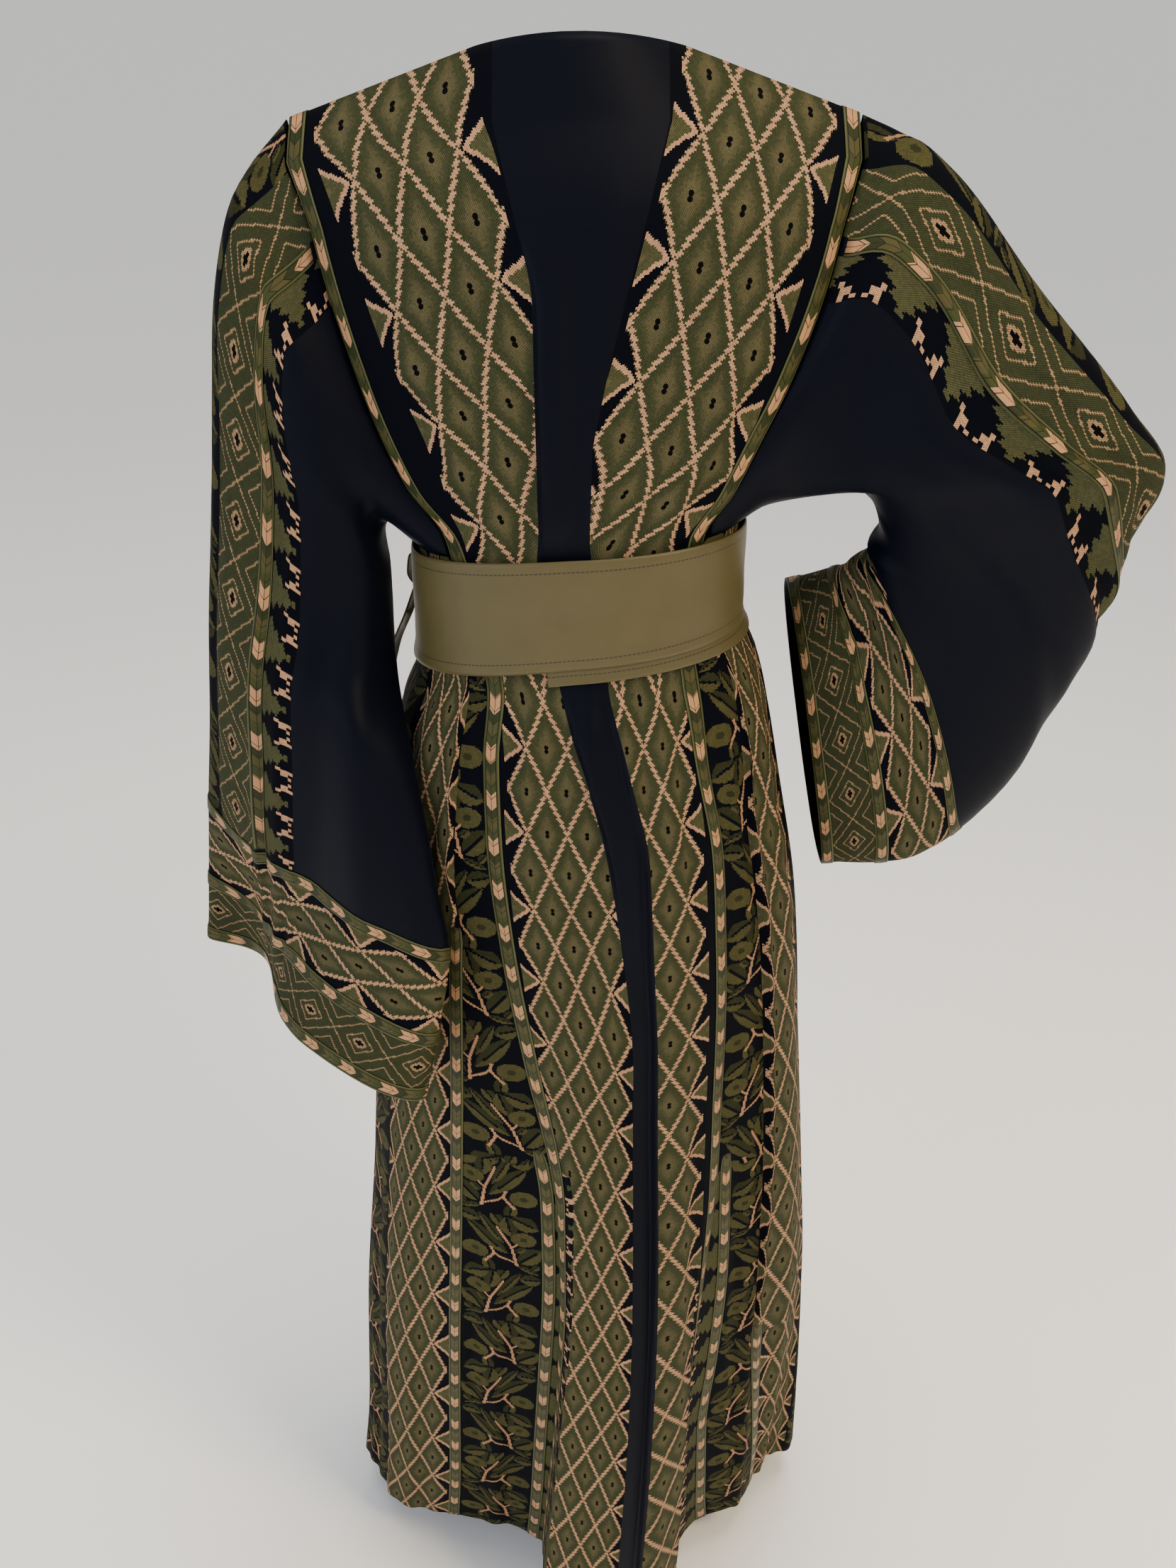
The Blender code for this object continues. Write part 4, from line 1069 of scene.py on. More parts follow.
def round_from(grid, column):
    """How far each point lies round its row from one column, in metres; less than 0 before it."""
    steps = np.linalg.norm(np.diff(grid, axis=1), axis=2)
    round_row = np.concatenate([np.zeros((len(grid), 1)), np.cumsum(steps, axis=1)], 1)
    return round_row - round_row[:, column:column + 1]


def down_from_top(grid):
    """How far down its own column each point lies, in metres."""
    steps = np.linalg.norm(np.diff(grid, axis=0), axis=2)
    return np.concatenate([np.zeros((1, grid.shape[1])), np.cumsum(steps, axis=0)], 0)


def rows_of_diamonds(down, centres):
    """Stitches down the diamonds, from where the middles of their rows lie, in metres."""
    first, last = centres[1] - centres[0], centres[-1] - centres[-2]
    centres = (centres[0] - 3 * first, *centres, centres[-1] + 3 * last)
    counts = (-3, *range(len(centres) - 2), len(centres))
    return DIAMOND_HEIGHT / 2 + DIAMOND_HEIGHT * np.interp(down, centres, counts)


# ---- Walls ----------------------------------------------------------------------------------

MADE, GRIDS = {}, {}    # each piece, and its points: rows down and columns round


def new_piece(mesh, name, finishes):
    """An object made of a bmesh, with its finishes."""
    data = bpy.data.meshes.new(name)
    mesh.to_mesh(data)
    mesh.free()
    made = bpy.data.objects.new(name, data)
    for one in finishes:
        data.materials.append(one)
    bpy.context.scene.collection.objects.link(made)
    return made


def stand_in(made, name):
    """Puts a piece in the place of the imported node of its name."""
    MADE[name] = made
    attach(made, "root")
    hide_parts(name)


def wall(name, grid, bands, thickness=CLOTH, closed=False, finishes=FINISHES):
    """A wall whose outer face is the grid. A band is its rows, its columns, its finish's place
    in finishes, and its map; closed grids meet themselves at the last column. The last of the
    finishes is also the wall's inner face."""
    rows, columns = grid.shape[:2]
    mesh = bmesh.new()
    bmesh.ops.create_grid(mesh, x_segments=columns - 1, y_segments=rows - 1, size=1)
    mesh.verts.ensure_lookup_table()
    places = {}
    for vertex in mesh.verts:
        column = round((vertex.co.x + 1) / 2 * (columns - 1))
        row = round((1 - vertex.co.y) / 2 * (rows - 1))
        places[vertex.index] = (row, column)
        vertex.co = grid[row, column]
    GRIDS[name] = grid
    stitches = mesh.loops.layers.uv.new("stitches")
    finish = np.zeros((rows, columns), int)
    for k, ((top, low), (first, last), kind, _, _) in enumerate(bands):
        finish[top:low, first:last] = k
    maps = [(kind, np.broadcast_to(u, (rows, columns)), np.broadcast_to(v, (rows, columns)))
            for _, _, kind, u, v in bands]
    for face in mesh.faces:
        face.smooth = True
        corners = [places[loop.vert.index] for loop in face.loops]
        kind, u, v = maps[finish[min(corners)]]
        face.material_index = kind
        for loop, corner in zip(face.loops, corners):
            loop[stitches].uv = (u[corner], v[corner])
    if closed:
        bmesh.ops.remove_doubles(mesh, verts=mesh.verts, dist=1e-6)
    made = new_piece(mesh, name, finishes)
    thick = made.modifiers.new("wall", "SOLIDIFY")
    thick.thickness = thickness
    thick.offset = -1
    thick.material_offset = len(finishes) - 1
    stand_in(made, name)


# ---- Braids ---------------------------------------------------------------------------------

# Across a braid, from its middle to its edge: how high it stands, as a share of its thickness.
BRAID_RISE = ((0, .84), (.12, .9), (.24, .78), (.31, .45), (.37, .85), (.42, 1.0), (.47, .8),
              (.5, .45))
BRAID_WALL = 0.4 * MM
BRAID_SEAT = 0.1 * MM   # between a braid and its panel
MAP_REPEAT = 40 * MM    # one repeat of the braid in its map
REPEAT_ABOVE, REPEAT_BELOW = 52 * MM, 39.5 * MM      # and as it lies above and below the belt
BELT_HEIGHT = -0.4      # where the belt lies, below the neck
TUCKED_ROWS = 6         # rows over which a braid comes out from under a fold
TUCKED_DEPTH = 0.5 * MM         # how far under the cloth its end lies there


def braid_on(name, grid, rows, columns, closed=False, along_rows=False, tucked=False):
    """A braid over one band of a panel's own points, with raised piping along both edges."""
    (top, low), (first, last) = rows, columns
    if closed:
        out = offsets(grid[:, :-1], True)
        out = np.concatenate([out, out[:, :1]], 1)
    else:
        out = offsets(grid)
    band = grid[top:low + 1, first:last + 1]
    count = band.shape[0] if along_rows else band.shape[1]
    place = np.linspace(-.5, .5, count)
    rise = np.interp(np.abs(place), *zip(*BRAID_RISE)) * BRAID + BRAID_SEAT
    if along_rows:
        rise, u = rise[:, None], place[:, None]
        v = lengths(band[len(band) // 2])[None, :]
        v = v * round(v[0, -1] / MAP_REPEAT) * MAP_REPEAT / v[0, -1]
    else:
        middle = band[:, count // 2]
        steps = np.diff(lengths(middle), prepend=0)
        repeat = np.where(middle[:, 2] > BELT_HEIGHT, REPEAT_ABOVE, REPEAT_BELOW)
        u, v = place, np.cumsum(steps * MAP_REPEAT / repeat)[:, None]
        if tucked:
            out_of_fold = np.clip(np.arange(len(band)) / TUCKED_ROWS, 0, 1)[:, None]
            rise = rise * out_of_fold - TUCKED_DEPTH * (1 - out_of_fold)
    raised = band + out[top:low + 1, first:last + 1] * rise[..., None]
    bands = [((0, raised.shape[0]), (0, raised.shape[1]), 0, u, v)]
    wall(name, raised, bands, BRAID_WALL, closed and along_rows, (BRAID_FINISH,))


# ---- Panels ---------------------------------------------------------------------------------

# How far down the cloth the middles of the diamond rows lie, in metres. The front's are those
# of the back's left.
BACK_LEFT_ROWS = (.0255, .1275, .2085, .288, .366, .469, .5395, .611, .678, .753, .830, .898, .967,
                  1.036, 1.101, 1.166, 1.230, 1.296, 1.365, 1.435, 1.505)
BACK_RIGHT_ROWS = (.0165, .1115, .1955, .275, .352, .468, .534, .604, .671, .737, .803, .869, .936,
                   1.002, 1.068, 1.137, 1.200, 1.262, 1.328, 1.395, 1.462)
SIDE_DIAMOND_ROWS = (.43, .500, .570, .641, .712, .783, .854, .923, .996, 1.073, 1.148, 1.229,
                     1.312, 1.39, 1.46)

# How the diamonds lie on the back: where each edge of the black strip cuts them, in stitches
# from their nearer zigzag, a stitch's width in millimetres, and how their rows slope on the
# skirt, in stitches down for each stitch towards the middle, from the column "level".
DIAMONDS_LEFT = {
    "columns": ("drop", "cut", "stitch", "slope", "level"),
    "rows": (
        (.022, -14.2, 1.54, 0, 37.5), (.073, -8.0, 1.54, 0, 37.5), (.122, -6.8, 1.54, 0, 37.5),
        (.163, -4.5, 1.54, 0, 37.5), (.205, 2.0, 1.54, 0, 37.5), (.270, 18.0, 1.50, 0, 37.5),
        (.310, 24.0, 1.45, 0, 37.5), (.345, 35.6, 1.40, 0, 37.5), (.450, 34.0, 1.24, .06, 37.5),
        (.490, 24.2, 1.24, .06, 37.5), (.526, 15.8, 1.24, .06, 37.5), (.560, 9.4, 1.24, .06, 37.5),
        (.600, 4.4, 1.205, .06, 37.5), (.660, 0.0, 1.155, .06, 37.5), (.700, -4.4, 1.09, .12, 37.5),
        (.740, -5.7, 1.09, .30, 37.5), (.800, -6.6, 1.08, .44, 25), (.840, -6.6, 1.08, .42, 12.5),
        (1.00, -6.6, 1.08, .34, 12.5), (1.20, -4.0, 1.10, .34, 12.5), (1.50, -5.0, 1.10, .34, 12.5),
    ),
}
DIAMONDS_RIGHT = {
    "columns": ("drop", "cut", "stitch", "slope", "level"),
    "rows": (
        (.015, -8.0, 1.50, 0, 37.5), (.057, -3.8, 1.50, 0, 37.5), (.104, -4.3, 1.51, 0, 37.5),
        (.188, -4.0, 1.51, 0, 37.5), (.228, -2.1, 1.51, 0, 37.5), (.270, 1.3, 1.50, 0, 37.5),
        (.310, 16.0, 1.45, 0, 37.5), (.345, 31.0, 1.40, 0, 37.5), (.450, 17.5, 1.12, 0, 62.5),
        (.484, 22.5, 1.16, 0, 62.5), (.519, 29.7, 1.20, 0, 62.5), (.589, 37.5, 1.28, 0, 62.5),
        (.655, 39.8, 1.34, 0, 62.5), (.800, 43.0, 1.50, 0, 62.5), (.990, 44.0, 1.68, 0, 62.5),
        (1.13, 43.0, 1.85, 0, 62.5), (1.25, 41.0, 1.95, 0, 62.5), (1.31, 38.5, 1.90, 0, 62.5),
        (1.50, 36.0, 1.85, 0, 62.5),
    ),
}
ROUNDED_OFF = 0.016     # how much longer the cloth is than its drop, below the shoulder
WAIST_DROP, WAIST_FADE = .33, .06       # below here the diamond rows follow the drop alone


def back_diamonds(grid, drops, table, column, side, centres):
    """The map of one lattice: stitches from its zigzag beside the black strip, and rows."""
    cut, stitch, slope, level = (read(table, name, drops)[:, None] for name in table["columns"][1:])
    u = cut + side * round_from(grid, column) / (stitch * MM)
    below = drops[:, None] + ROUNDED_OFF
    own = np.clip((drops[:, None] - WAIST_DROP) / WAIST_FADE, 0, 1)
    down = down_from_top(grid) * (1 - own) + below * own
    v = rows_of_diamonds(down, centres) + slope * (u - level)
    return u, v


def panel_wall(name, grid, counts, kinds):
    """A panel whose bands lie between its lines; kinds gives each band's finish and map, and
    the rows it spans where it isn't the whole height."""
    at = np.cumsum([0, *counts])
    bands = []
    for band, kind, u, v, *span in kinds:
        first, last = (band, band + 1) if np.ndim(band) == 0 else band
        bands.append((span[0] if span else (0, len(grid)), (at[first], at[last]), kind, u, v))
    wall(name, grid, bands)


# ---- Creases --------------------------------------------------------------------------------

# Soft creases of the hanging cloth: the turn from the centre back in degrees and the drop at each
# end, the half width in degrees, and the height in millimetres.
CREASES = (
    (-52, .14, -28, .34, 7, -2.4), (-40, .17, -22, .35, 5, 2.2), (-27, .20, -15, .35, 4, -1.8),
    (50, .15, 27, .34, 7, -2.2), (37, .18, 20, .35, 5, 2.0), (24, .22, 13, .35, 4, -1.6),
    (-5, .12, -4, .35, 4, 1.6), (1, .10, -1, .35, 3, -1.8), (4, .05, 1, .30, 4, 1.4),
    (-20, .425, -17, .66, 3.5, -2.6), (-14, .425, -11, .58, 3, 2.2), (-5, .425, -4, .62, 3.5, -2.2),
    (1, .425, 3, .56, 3, 2.0), (13, .425, 17, .62, 3, -2.4), (19, .425, 22, .60, 3, 2.4),
    (25, .425, 27, .66, 3.5, -2.4), (10, .45, 13, .72, 2.5, 1.5),
    (-2, .70, 2, 1.16, 5, 2.6), (6, .80, 6, 1.50, 4, -2.4), (22, .70, 17, 1.30, 4, 2.6),
    (27, .80, 21, 1.20, 3, -2.2), (12, .90, 13, 1.50, 3.5, 2.2), (0, 1.15, -2, 1.50, 3.5, 2.4),
    (-41, .44, -46, .72, 4, -3.2), (-50, .44, -54, .80, 5, 3.4), (-60, .44, -64, .74, 5, -3.0),
    (-72, .44, -76, .90, 6, 3.2), (-84, .44, -86, .80, 5, -3.0), (-98, .44, -100, .85, 6, 3.0),
    (-20, .92, -21, 1.50, 4, 3.2), (-27, .95, -27, 1.40, 3, -2.6), (-44, .80, -43, 1.50, 5, -4.0),
    (-57, .95, -57, 1.50, 5, 4.0), (-70, .85, -72, 1.50, 6, -4.2), (-83, 1.0, -86, 1.50, 5, 4.0),
    (-97, .90, -99, 1.50, 6, -4.0),
    (44, .44, 47, .72, 3.5, 3.0), (53, .46, 57, .80, 4, -3.0), (62, .44, 66, .76, 4, 3.2),
    (72, .44, 76, .88, 5, -3.0), (84, .44, 87, .82, 5, 3.0), (97, .44, 99, .90, 6, -3.0),
    (40, .80, 38, 1.45, 3.5, -3.2), (46, .96, 42, 1.50, 3, 2.8), (58, .86, 60, 1.50, 5, 4.2),
    (70, .98, 71, 1.50, 5, -4.4), (82, .90, 84, 1.50, 5, 4.0), (95, 1.0, 97, 1.50, 5, -4.0),
    (112, .46, 116, .95, 6, 3.0), (128, .46, 131, .90, 6, -3.0), (144, .46, 148, .80, 5, 2.8),
    (158, .45, 161, .74, 4, -2.6), (170, .45, 171, .80, 4, 2.4), (182, .45, 182, .78, 4, -2.4),
    (194, .45, 193, .84, 4, 2.4), (207, .46, 205, .80, 5, -2.8), (221, .46, 218, .90, 6, 3.0),
    (236, .46, 233, .86, 6, -3.0), (118, .96, 121, 1.50, 6, -4.0), (136, .98, 139, 1.50, 6, 4.0),
    (166, .92, 168, 1.50, 5, 3.4), (176, 1.0, 178, 1.50, 4, -3.0), (190, .95, 189, 1.50, 5, 3.2),
    (214, .96, 212, 1.50, 6, -4.0), (228, 1.0, 226, 1.50, 6, 4.0),
    (150, .16, 156, .34, 6, -2.0), (210, .16, 204, .34, 6, -2.0), (163, .20, 166, .34, 4, 1.8),
    (197, .20, 194, .34, 4, 1.8),
)
EDGE_STEPS = 10         # columns over which a crease dies away beside a seam


def creases(grid, angles, drops):
    """How far the creases lift each point of a panel, nothing at its seams."""
    turn = np.degrees(angles)
    lift = 0.0
    for start, top, end, low, half_width, height in CREASES:
        share = np.clip((drops - top) / (low - top), 0, 1)
        away = wrapped(np.radians(turn - start - (end - start) * share))
        if low == HEM_DROP:
            fade = np.sin(share * math.pi / 2)
        else:
            fade = np.sin(share * math.pi)**.8
        lift = lift + height * MM * hill(away / math.radians(half_width)) * fade
    columns = np.arange(grid.shape[1])
    inside = np.minimum(columns, columns[::-1]) / EDGE_STEPS
    return lift * np.clip(inside, 0, 1)


def creased(grid, angles, drops, way=1):
    """A panel's points with its creases raised; way is -1 where its columns run backwards."""
    return grid + way * offsets(grid) * creases(grid, angles, drops)[..., None]


BACK_COUNTS = (8, 6, 38, 4, 10, 4, 38, 6, 8)
FRONT_COUNTS = (8, 40, 14, 40, 8)
BACK_BRAID_FOLD = (0.90, 1.05)      # below these drops the wall beside a seam braid is plain


def build_back():
    drops = BACK_ROWS
    angles = between(back_lines(drops), BACK_COUNTS)
    grid = creased(body_point(angles, drops[:, None]), angles, drops[:, None])
    at = np.cumsum([0, *BACK_COUNTS])
    left = back_diamonds(grid, drops, DIAMONDS_LEFT, at[4], -1, BACK_LEFT_ROWS)
    right = back_diamonds(grid, drops, DIAMONDS_RIGHT, at[6], 1, BACK_RIGHT_ROWS)
    rows = len(drops)
    low_left, low_right = (int(np.searchsorted(drops, drop)) for drop in BACK_BRAID_FOLD)
    trees = down_from_top(grid) / CYPRESS_STITCH
    kinds = [((0, 9), PLAIN, 0, 0), ((1, 3), DIAMONDS, *left), ((6, 8), DIAMONDS, *right),
             (1, TREES, TREE_WIDTH - round_from(grid, at[1]) / CYPRESS_STITCH, trees,
              (low_left, rows)),
             (7, TREES, TREE_WIDTH + round_from(grid, at[8]) / CYPRESS_STITCH, trees,
              (low_right, rows))]
    panel_wall("back_panel", grid, BACK_COUNTS, kinds)
    braid_on("seam_braid_back_left", grid, (0, rows - 1), (at[0], at[1]))
    braid_on("seam_braid_back_right", grid, (0, rows - 1), (at[-2], at[-1]))


def build_front():
    drops = BACK_ROWS
    angles = between(front_lines(drops), FRONT_COUNTS)
    grid = creased(body_point(angles, drops[:, None]), angles, drops[:, None])
    at = np.cumsum([0, *FRONT_COUNTS])
    down = rows_of_diamonds(down_from_top(grid), BACK_LEFT_ROWS)
    ends = ((1, at[1], at[2], 78, -3), (3, at[3], at[4], -3, 78))
    maps = [(band, DIAMONDS, across(len(drops), first, last, start, end, grid.shape[1]), down)
            for band, first, last, start, end in ends]
    waist = int(np.searchsorted(drops, WAIST_SEAM))
    for name, rows in (("front_bodice", slice(0, waist + 1)), ("front_skirt", slice(waist, None))):
        kinds = [(band, kind, u[rows], v[rows]) for band, kind, u, v in maps]
        panel_wall(name, grid[rows], FRONT_COUNTS, [((0, 5), PLAIN, 0, 0), *kinds])
    rows = (0, len(drops) - 1)
    braid_on("seam_braid_front_right", grid, rows, (at[0], at[1]))
    braid_on("seam_braid_front_left", grid, rows, (at[-2], at[-1]))


# Where the strip of olive branches lies down each side, in degrees from the centre back.
SIDE_LEAVES = {"left": (-62, -92), "right": (82, 107)}
SIDE_COUNTS = (12, 8, 30, 8, 36, 26, 26, 8, 28, 8, 12)
EASED_ROWS = 8          # rows over which the underarm's slope runs out into level rows


def build_side(side):
    drops = SIDE_ROWS
    sign = 1 if side == "right" else -1
    angles = between(side_lines(side, drops), SIDE_COUNTS)
    drop = np.broadcast_to(drops[:, None], angles.shape).copy()
    for _ in range(3):      # each needs the other, and three rounds settle them
        drop[0] = armhole_drop(angles[0]) + SEAM
        angles[0] = between(side_lines(side, drop[0]), SIDE_COUNTS).diagonal()
    for k in range(1, EASED_ROWS):
        share = k / EASED_ROWS
        drop[k] = drop[0] * (1 - share) + drop[EASED_ROWS] * share
    grid = creased(body_point(angles, drop), angles, drop, sign)
    at = np.cumsum([0, *SIDE_COUNTS])
    rows, columns = grid.shape[:2]
    down = drops[0] + down_from_top(grid)
    diamonds = rows_of_diamonds(down, SIDE_DIAMOND_ROWS)
    branches, trees = down / BRANCH_STITCH, down / CYPRESS_STITCH

    def stitches(column, stitch, way=1):
        return way * round_from(grid, column) / stitch

    def edge_to_edge(first, last, start, end):
        return across(rows, first, last, start, end, columns)

    leaf, side_top, front_side, front_leaf = (
        int(np.searchsorted(drops, BRAID_START[line]))
        for line in (f"{side}_leaf", f"{side}_side", "front_side", "front_leaf"))
    kinds = [((0, 11), PLAIN, 0, 0),
             ((0, 4), BRANCHES, stitches(at[0], BRANCH_STITCH) + 2, branches, (0, leaf)),
             (0, TREES, stitches(at[1], CYPRESS_STITCH, -1), trees, (leaf, rows)),
             ((2, 4), BRANCHES, stitches(at[2], BRANCH_STITCH), branches, (leaf, rows)),
             ((3, 5), DIAMONDS, edge_to_edge(at[3], at[5], -3, 75), diamonds, (0, side_top)),
             (4, DIAMONDS, edge_to_edge(at[4], at[5], -3, 75), diamonds, (side_top, rows)),
             (3, PLAIN, 0, 0, (side_top, rows)),
             (5, BRANCHES, stitches(at[5], BRANCH_STITCH), branches),
             (6, DIAMONDS, edge_to_edge(at[6], at[7], 75, -3), diamonds),
             (8, BRANCHES, stitches(at[9], BRANCH_STITCH, -1), branches),
             (10, TREES, stitches(at[10], CYPRESS_STITCH), trees, (front_leaf, rows)),
             (10, BRANCHES, stitches(at[11], BRANCH_STITCH, -1), branches, (0, front_leaf))]
    counts, braids = list(SIDE_COUNTS), []
    for name, place, top in (("leaf_braid_back", 1, leaf), ("side_braid_back", 3, side_top),
                             ("side_braid_front", 7, front_side),
                             ("leaf_braid_front", 9, front_leaf)):
        braids.append((name, (at[place], at[place + 1]), top))
    if sign < 0:
        width, bands = columns - 1, len(counts)
        grid, counts = grid[:, ::-1], counts[::-1]
        kinds = [mirrored(kind, bands) for kind in kinds]
        braids = [(name, (width - last, width - first), top) for name, (first, last), top in braids]
    panel_wall(f"side_panel_{side}", grid, counts, kinds)
    for name, span, top in braids:
        braid_on(f"{name}_{side}", grid, (top - TUCKED_ROWS + 1, rows - 1), span, tucked=True)


def mirrored(kind, bands):
    """The same band of a panel whose columns run the other way."""
    band, finish, u, v, *span = kind
    first, last = (band, band + 1) if np.ndim(band) == 0 else band
    u, v = (value if np.ndim(value) == 0 else value[:, ::-1] for value in (u, v))
    return ((bands - last, bands - first), finish, u, v, *span)


# ---- Sleeves' pieces ------------------------------------------------------------------------

BEHIND_COUNTS = (7, 7, 8, 8, 8, 10)
CUFF_COUNTS = (8, 14, 8, 22, 8)
UPPER_STEPS = 84
CUFF_ROW = -20          # a row through the cuff's diamonds
CUFF_DIAMOND, CUFF_NEST = 69.5 * MM, 55 * MM         # about one repeat round the cuff


def spread(marks, counts):
    return between([np.float64(mark) for mark in marks], counts)


def sleeve_grid(side):
    """Fine rows from the armhole to the cuff's edge, closed, and how far the cuff's rows are
    from its edge."""
    points, turn = sleeve_surface(side)
    behind = spread(SLEEVE_BANDS, BEHIND_COUNTS)
    lines = np.stack([across_sleeve(ring, t, behind) for ring, t in zip(points, turn)])
    cuff = spread(CUFF_BANDS, CUFF_COUNTS)[::-1]
    near_seam = 4 * MM
    columns = []
    for k in range(lines.shape[1]):
        along = lengths(lines[:, k])
        total = along[-1]
        upper = np.linspace(near_seam, total - CUFF_BANDS[-1] - near_seam, UPPER_STEPS)
        at = np.concatenate([[0], upper, total - cuff])
        columns.append(on_curve(lines[:, k], along, at))
    grid = np.stack(columns, 1)
    if side == "right":
        grid = np.roll(grid[:, ::-1], 1, 1)
    grid = grid + offsets(grid, True) * sleeve_creases(grid, side)[..., None]
    grid = np.concatenate([grid, grid[:, :1]], 1)
    return grid, cuff


# Creases down each sleeve: where they lie round it at the armhole and at the cuff, in shares
# from its top line round behind, where they start and end down it, half widths, and heights in
# millimetres.
SLEEVE_CREASES = {
    "left": (
        (.30, .26, .08, .80, .030, -4.0), (.36, .31, .05, .96, .032, 4.0),
        (.42, .37, .12, .97, .030, -4.5), (.24, .22, .30, .97, .026, 3.0),
        (.46, .43, .05, .90, .026, 4.0), (.33, .35, .50, .98, .022, -3.5),
        (.60, .62, .10, .95, .040, 4.0), (.68, .70, .20, .97, .036, -4.0),
        (.76, .77, .10, .90, .036, 3.5), (.53, .54, .20, .97, .030, -3.5),
        (.12, .10, .14, .60, .030, -2.5),
        (.27, .27, -.12, .42, .180, -7.5),      # a broad hollow behind, near the armhole
    ),
    "right": (
        (.20, .18, .05, .45, .030, -4.0), (.27, .30, .04, .50, .030, 4.2),
        (.34, .33, .08, .60, .028, -4.0), (.40, .38, .04, .55, .026, 3.5),
        (.46, .42, .05, .80, .030, -3.5), (.12, .14, .30, .70, .026, 3.0),
        (.24, .22, .50, .97, .028, 3.0), (.32, .34, .55, .97, .028, -3.5),
        (.60, .62, .10, .95, .040, 4.0), (.70, .70, .20, .97, .036, -4.0),
        (.80, .80, .10, .90, .036, 3.5),
    ),
}


def sleeve_creases(grid, side):
    """How far the creases lift each point of an open sleeve grid, nothing at its two ends."""
    rows, columns = grid.shape[:2]
    down = np.linspace(0, 1, rows)[:, None]
    place = np.arange(columns)[None, :] / columns
    place = place if side == "left" else (1 - place) % 1
    lift = 0.0
    for start, end, top, low, half_width, height in SLEEVE_CREASES[side]:
        share = np.clip((down - top) / (low - top), 0, 1)
        away = (place - start - (end - start) * share + .5) % 1 - .5
        lift = lift + height * MM * hill(away / half_width) * np.sin(share * math.pi)**.8
    return lift


def build_sleeve(side):
    grid, cuff = sleeve_grid(side)
    rows, columns = grid.shape[:2]
    at = np.cumsum([0, *BEHIND_COUNTS])
    first_cuff = rows - len(cuff)
    edges = first_cuff + np.cumsum([0, *CUFF_COUNTS[::-1]])
    middle = lengths(grid[:, (columns - 1) // 4])
    up = (middle[first_cuff] - middle)[:, None]
    around = lengths(grid[CUFF_ROW])
    round_share = around[None, :] / around[-1]
    upper, bands = (0, first_cuff), [((0, rows), (0, columns), PLAIN, 0, 0)]
    last = columns - 1

    def down_sleeve(first, end, kind, start, stop, v):
        u = across(rows, first, end, start, stop, columns)
        bands.append((upper, (min(first, end), max(first, end)), kind, u, v))

    def both_sides(first, end, kind, start, stop, v):
        """One band behind the top line and its mirror image before it."""
        down_sleeve(first, end, kind, start, stop, v)
        down_sleeve(last - first, last - end, kind, start, stop, v)

    half = BRANCH_WIDTH / 2
    down_sleeve(at[0], at[2], BRANCHES, half, BRANCH_WIDTH, up / BRANCH_STITCH)
    down_sleeve(last, last - at[2], BRANCHES, half, 0, up / BRANCH_STITCH)
    both_sides(at[2], at[4], NESTS, 0, NEST_WIDTH, up / NESTED_STITCH)
    both_sides(at[5], at[6], TREES, 0, TREE_WIDTH, up / CYPRESS_STITCH)
    rows_down = np.arange(rows)[:, None]

    def round_cuff(band, kind, start, stop, repeat, stitches):
        first, end = edges[band], edges[band + 1]
        u = start + (stop - start) * (rows_down - first) / (end - first)
        v = round_share * round(around[-1] / repeat) * stitches
        bands.append(((first, end), (0, columns), kind, u, v))

    round_cuff(1, CUFF_DIAMONDS, 53, -3, CUFF_DIAMOND, DIAMOND_HEIGHT)
    round_cuff(3, NESTS, 0, NEST_WIDTH, CUFF_NEST, NEST_HEIGHT)
    wall(f"sleeve_{side}", grid, bands, closed=True)
    behind_braid, ahead_braid = (at[4], at[5]), (last - at[5], last - at[4])
    if side == "right":
        behind_braid, ahead_braid = ahead_braid, behind_braid
    braid_on(f"sleeve_braid_back_{side}", grid, (1, UPPER_STEPS), behind_braid, True)
    braid_on(f"sleeve_braid_front_{side}", grid, (1, UPPER_STEPS), ahead_braid, True)
    for place, first in (("inner", 0), ("middle", 2), ("edge", 4)):
        rows_here = (edges[first], edges[first + 1])
        braid_on(f"cuff_braid_{place}_{side}", grid, rows_here, (0, last), True, True)


# ---- Belt and ties --------------------------------------------------------------------------

def belt_bands(grid, top_edge, low_edge):
    """The belt's map: millimetres from the nearer edge, and metres along."""
    tall = lengths(grid[:, grid.shape[1] // 2])[:, None]
    away = np.minimum(np.where(top_edge, tall, 1), np.where(low_edge, tall[-1] - tall, 1)) / MM
    along = lengths(grid[len(grid) // 2])[None, :]
    return [((0, grid.shape[0]), (0, grid.shape[1]), 0, away, along)]


# Points round and down each, and along and across a tie.
BELT_POINTS, WRAP_POINTS, TIE_POINTS = (265, 31), (150, 21), (49, 13)


def build_belt():
    angle = np.linspace(0, 2 * math.pi, BELT_POINTS[0])
    down = np.linspace(0, 1, BELT_POINTS[1])[:, None]
    drop = belt_top(angle) + (belt_bottom(angle) - belt_top(angle)) * down
    grid = ring_point(angle, drop, BELT_LIFT + BELT + belt_rolls(angle, down))
    wall("belt", grid, belt_bands(grid, True, True), BELT, True, (SATIN,))

    step = 2 * math.pi / BELT_COLUMNS
    angle = np.linspace(WRAP_STEPS[0] * step, WRAP_STEPS[1] * step, WRAP_POINTS[0])
    top = belt_bottom(angle) - WRAP_OVERLAP
    bottom = belt_bottom(angle) + WRAP_SHOWS
    down = np.linspace(0, 1, WRAP_POINTS[1])[:, None]
    grid = ring_point(angle, top + (bottom - top) * down, WRAP_LIFT + BELT)
    wall("belt_wrap", grid, belt_bands(grid, False, True), BELT, False, (SATIN,))


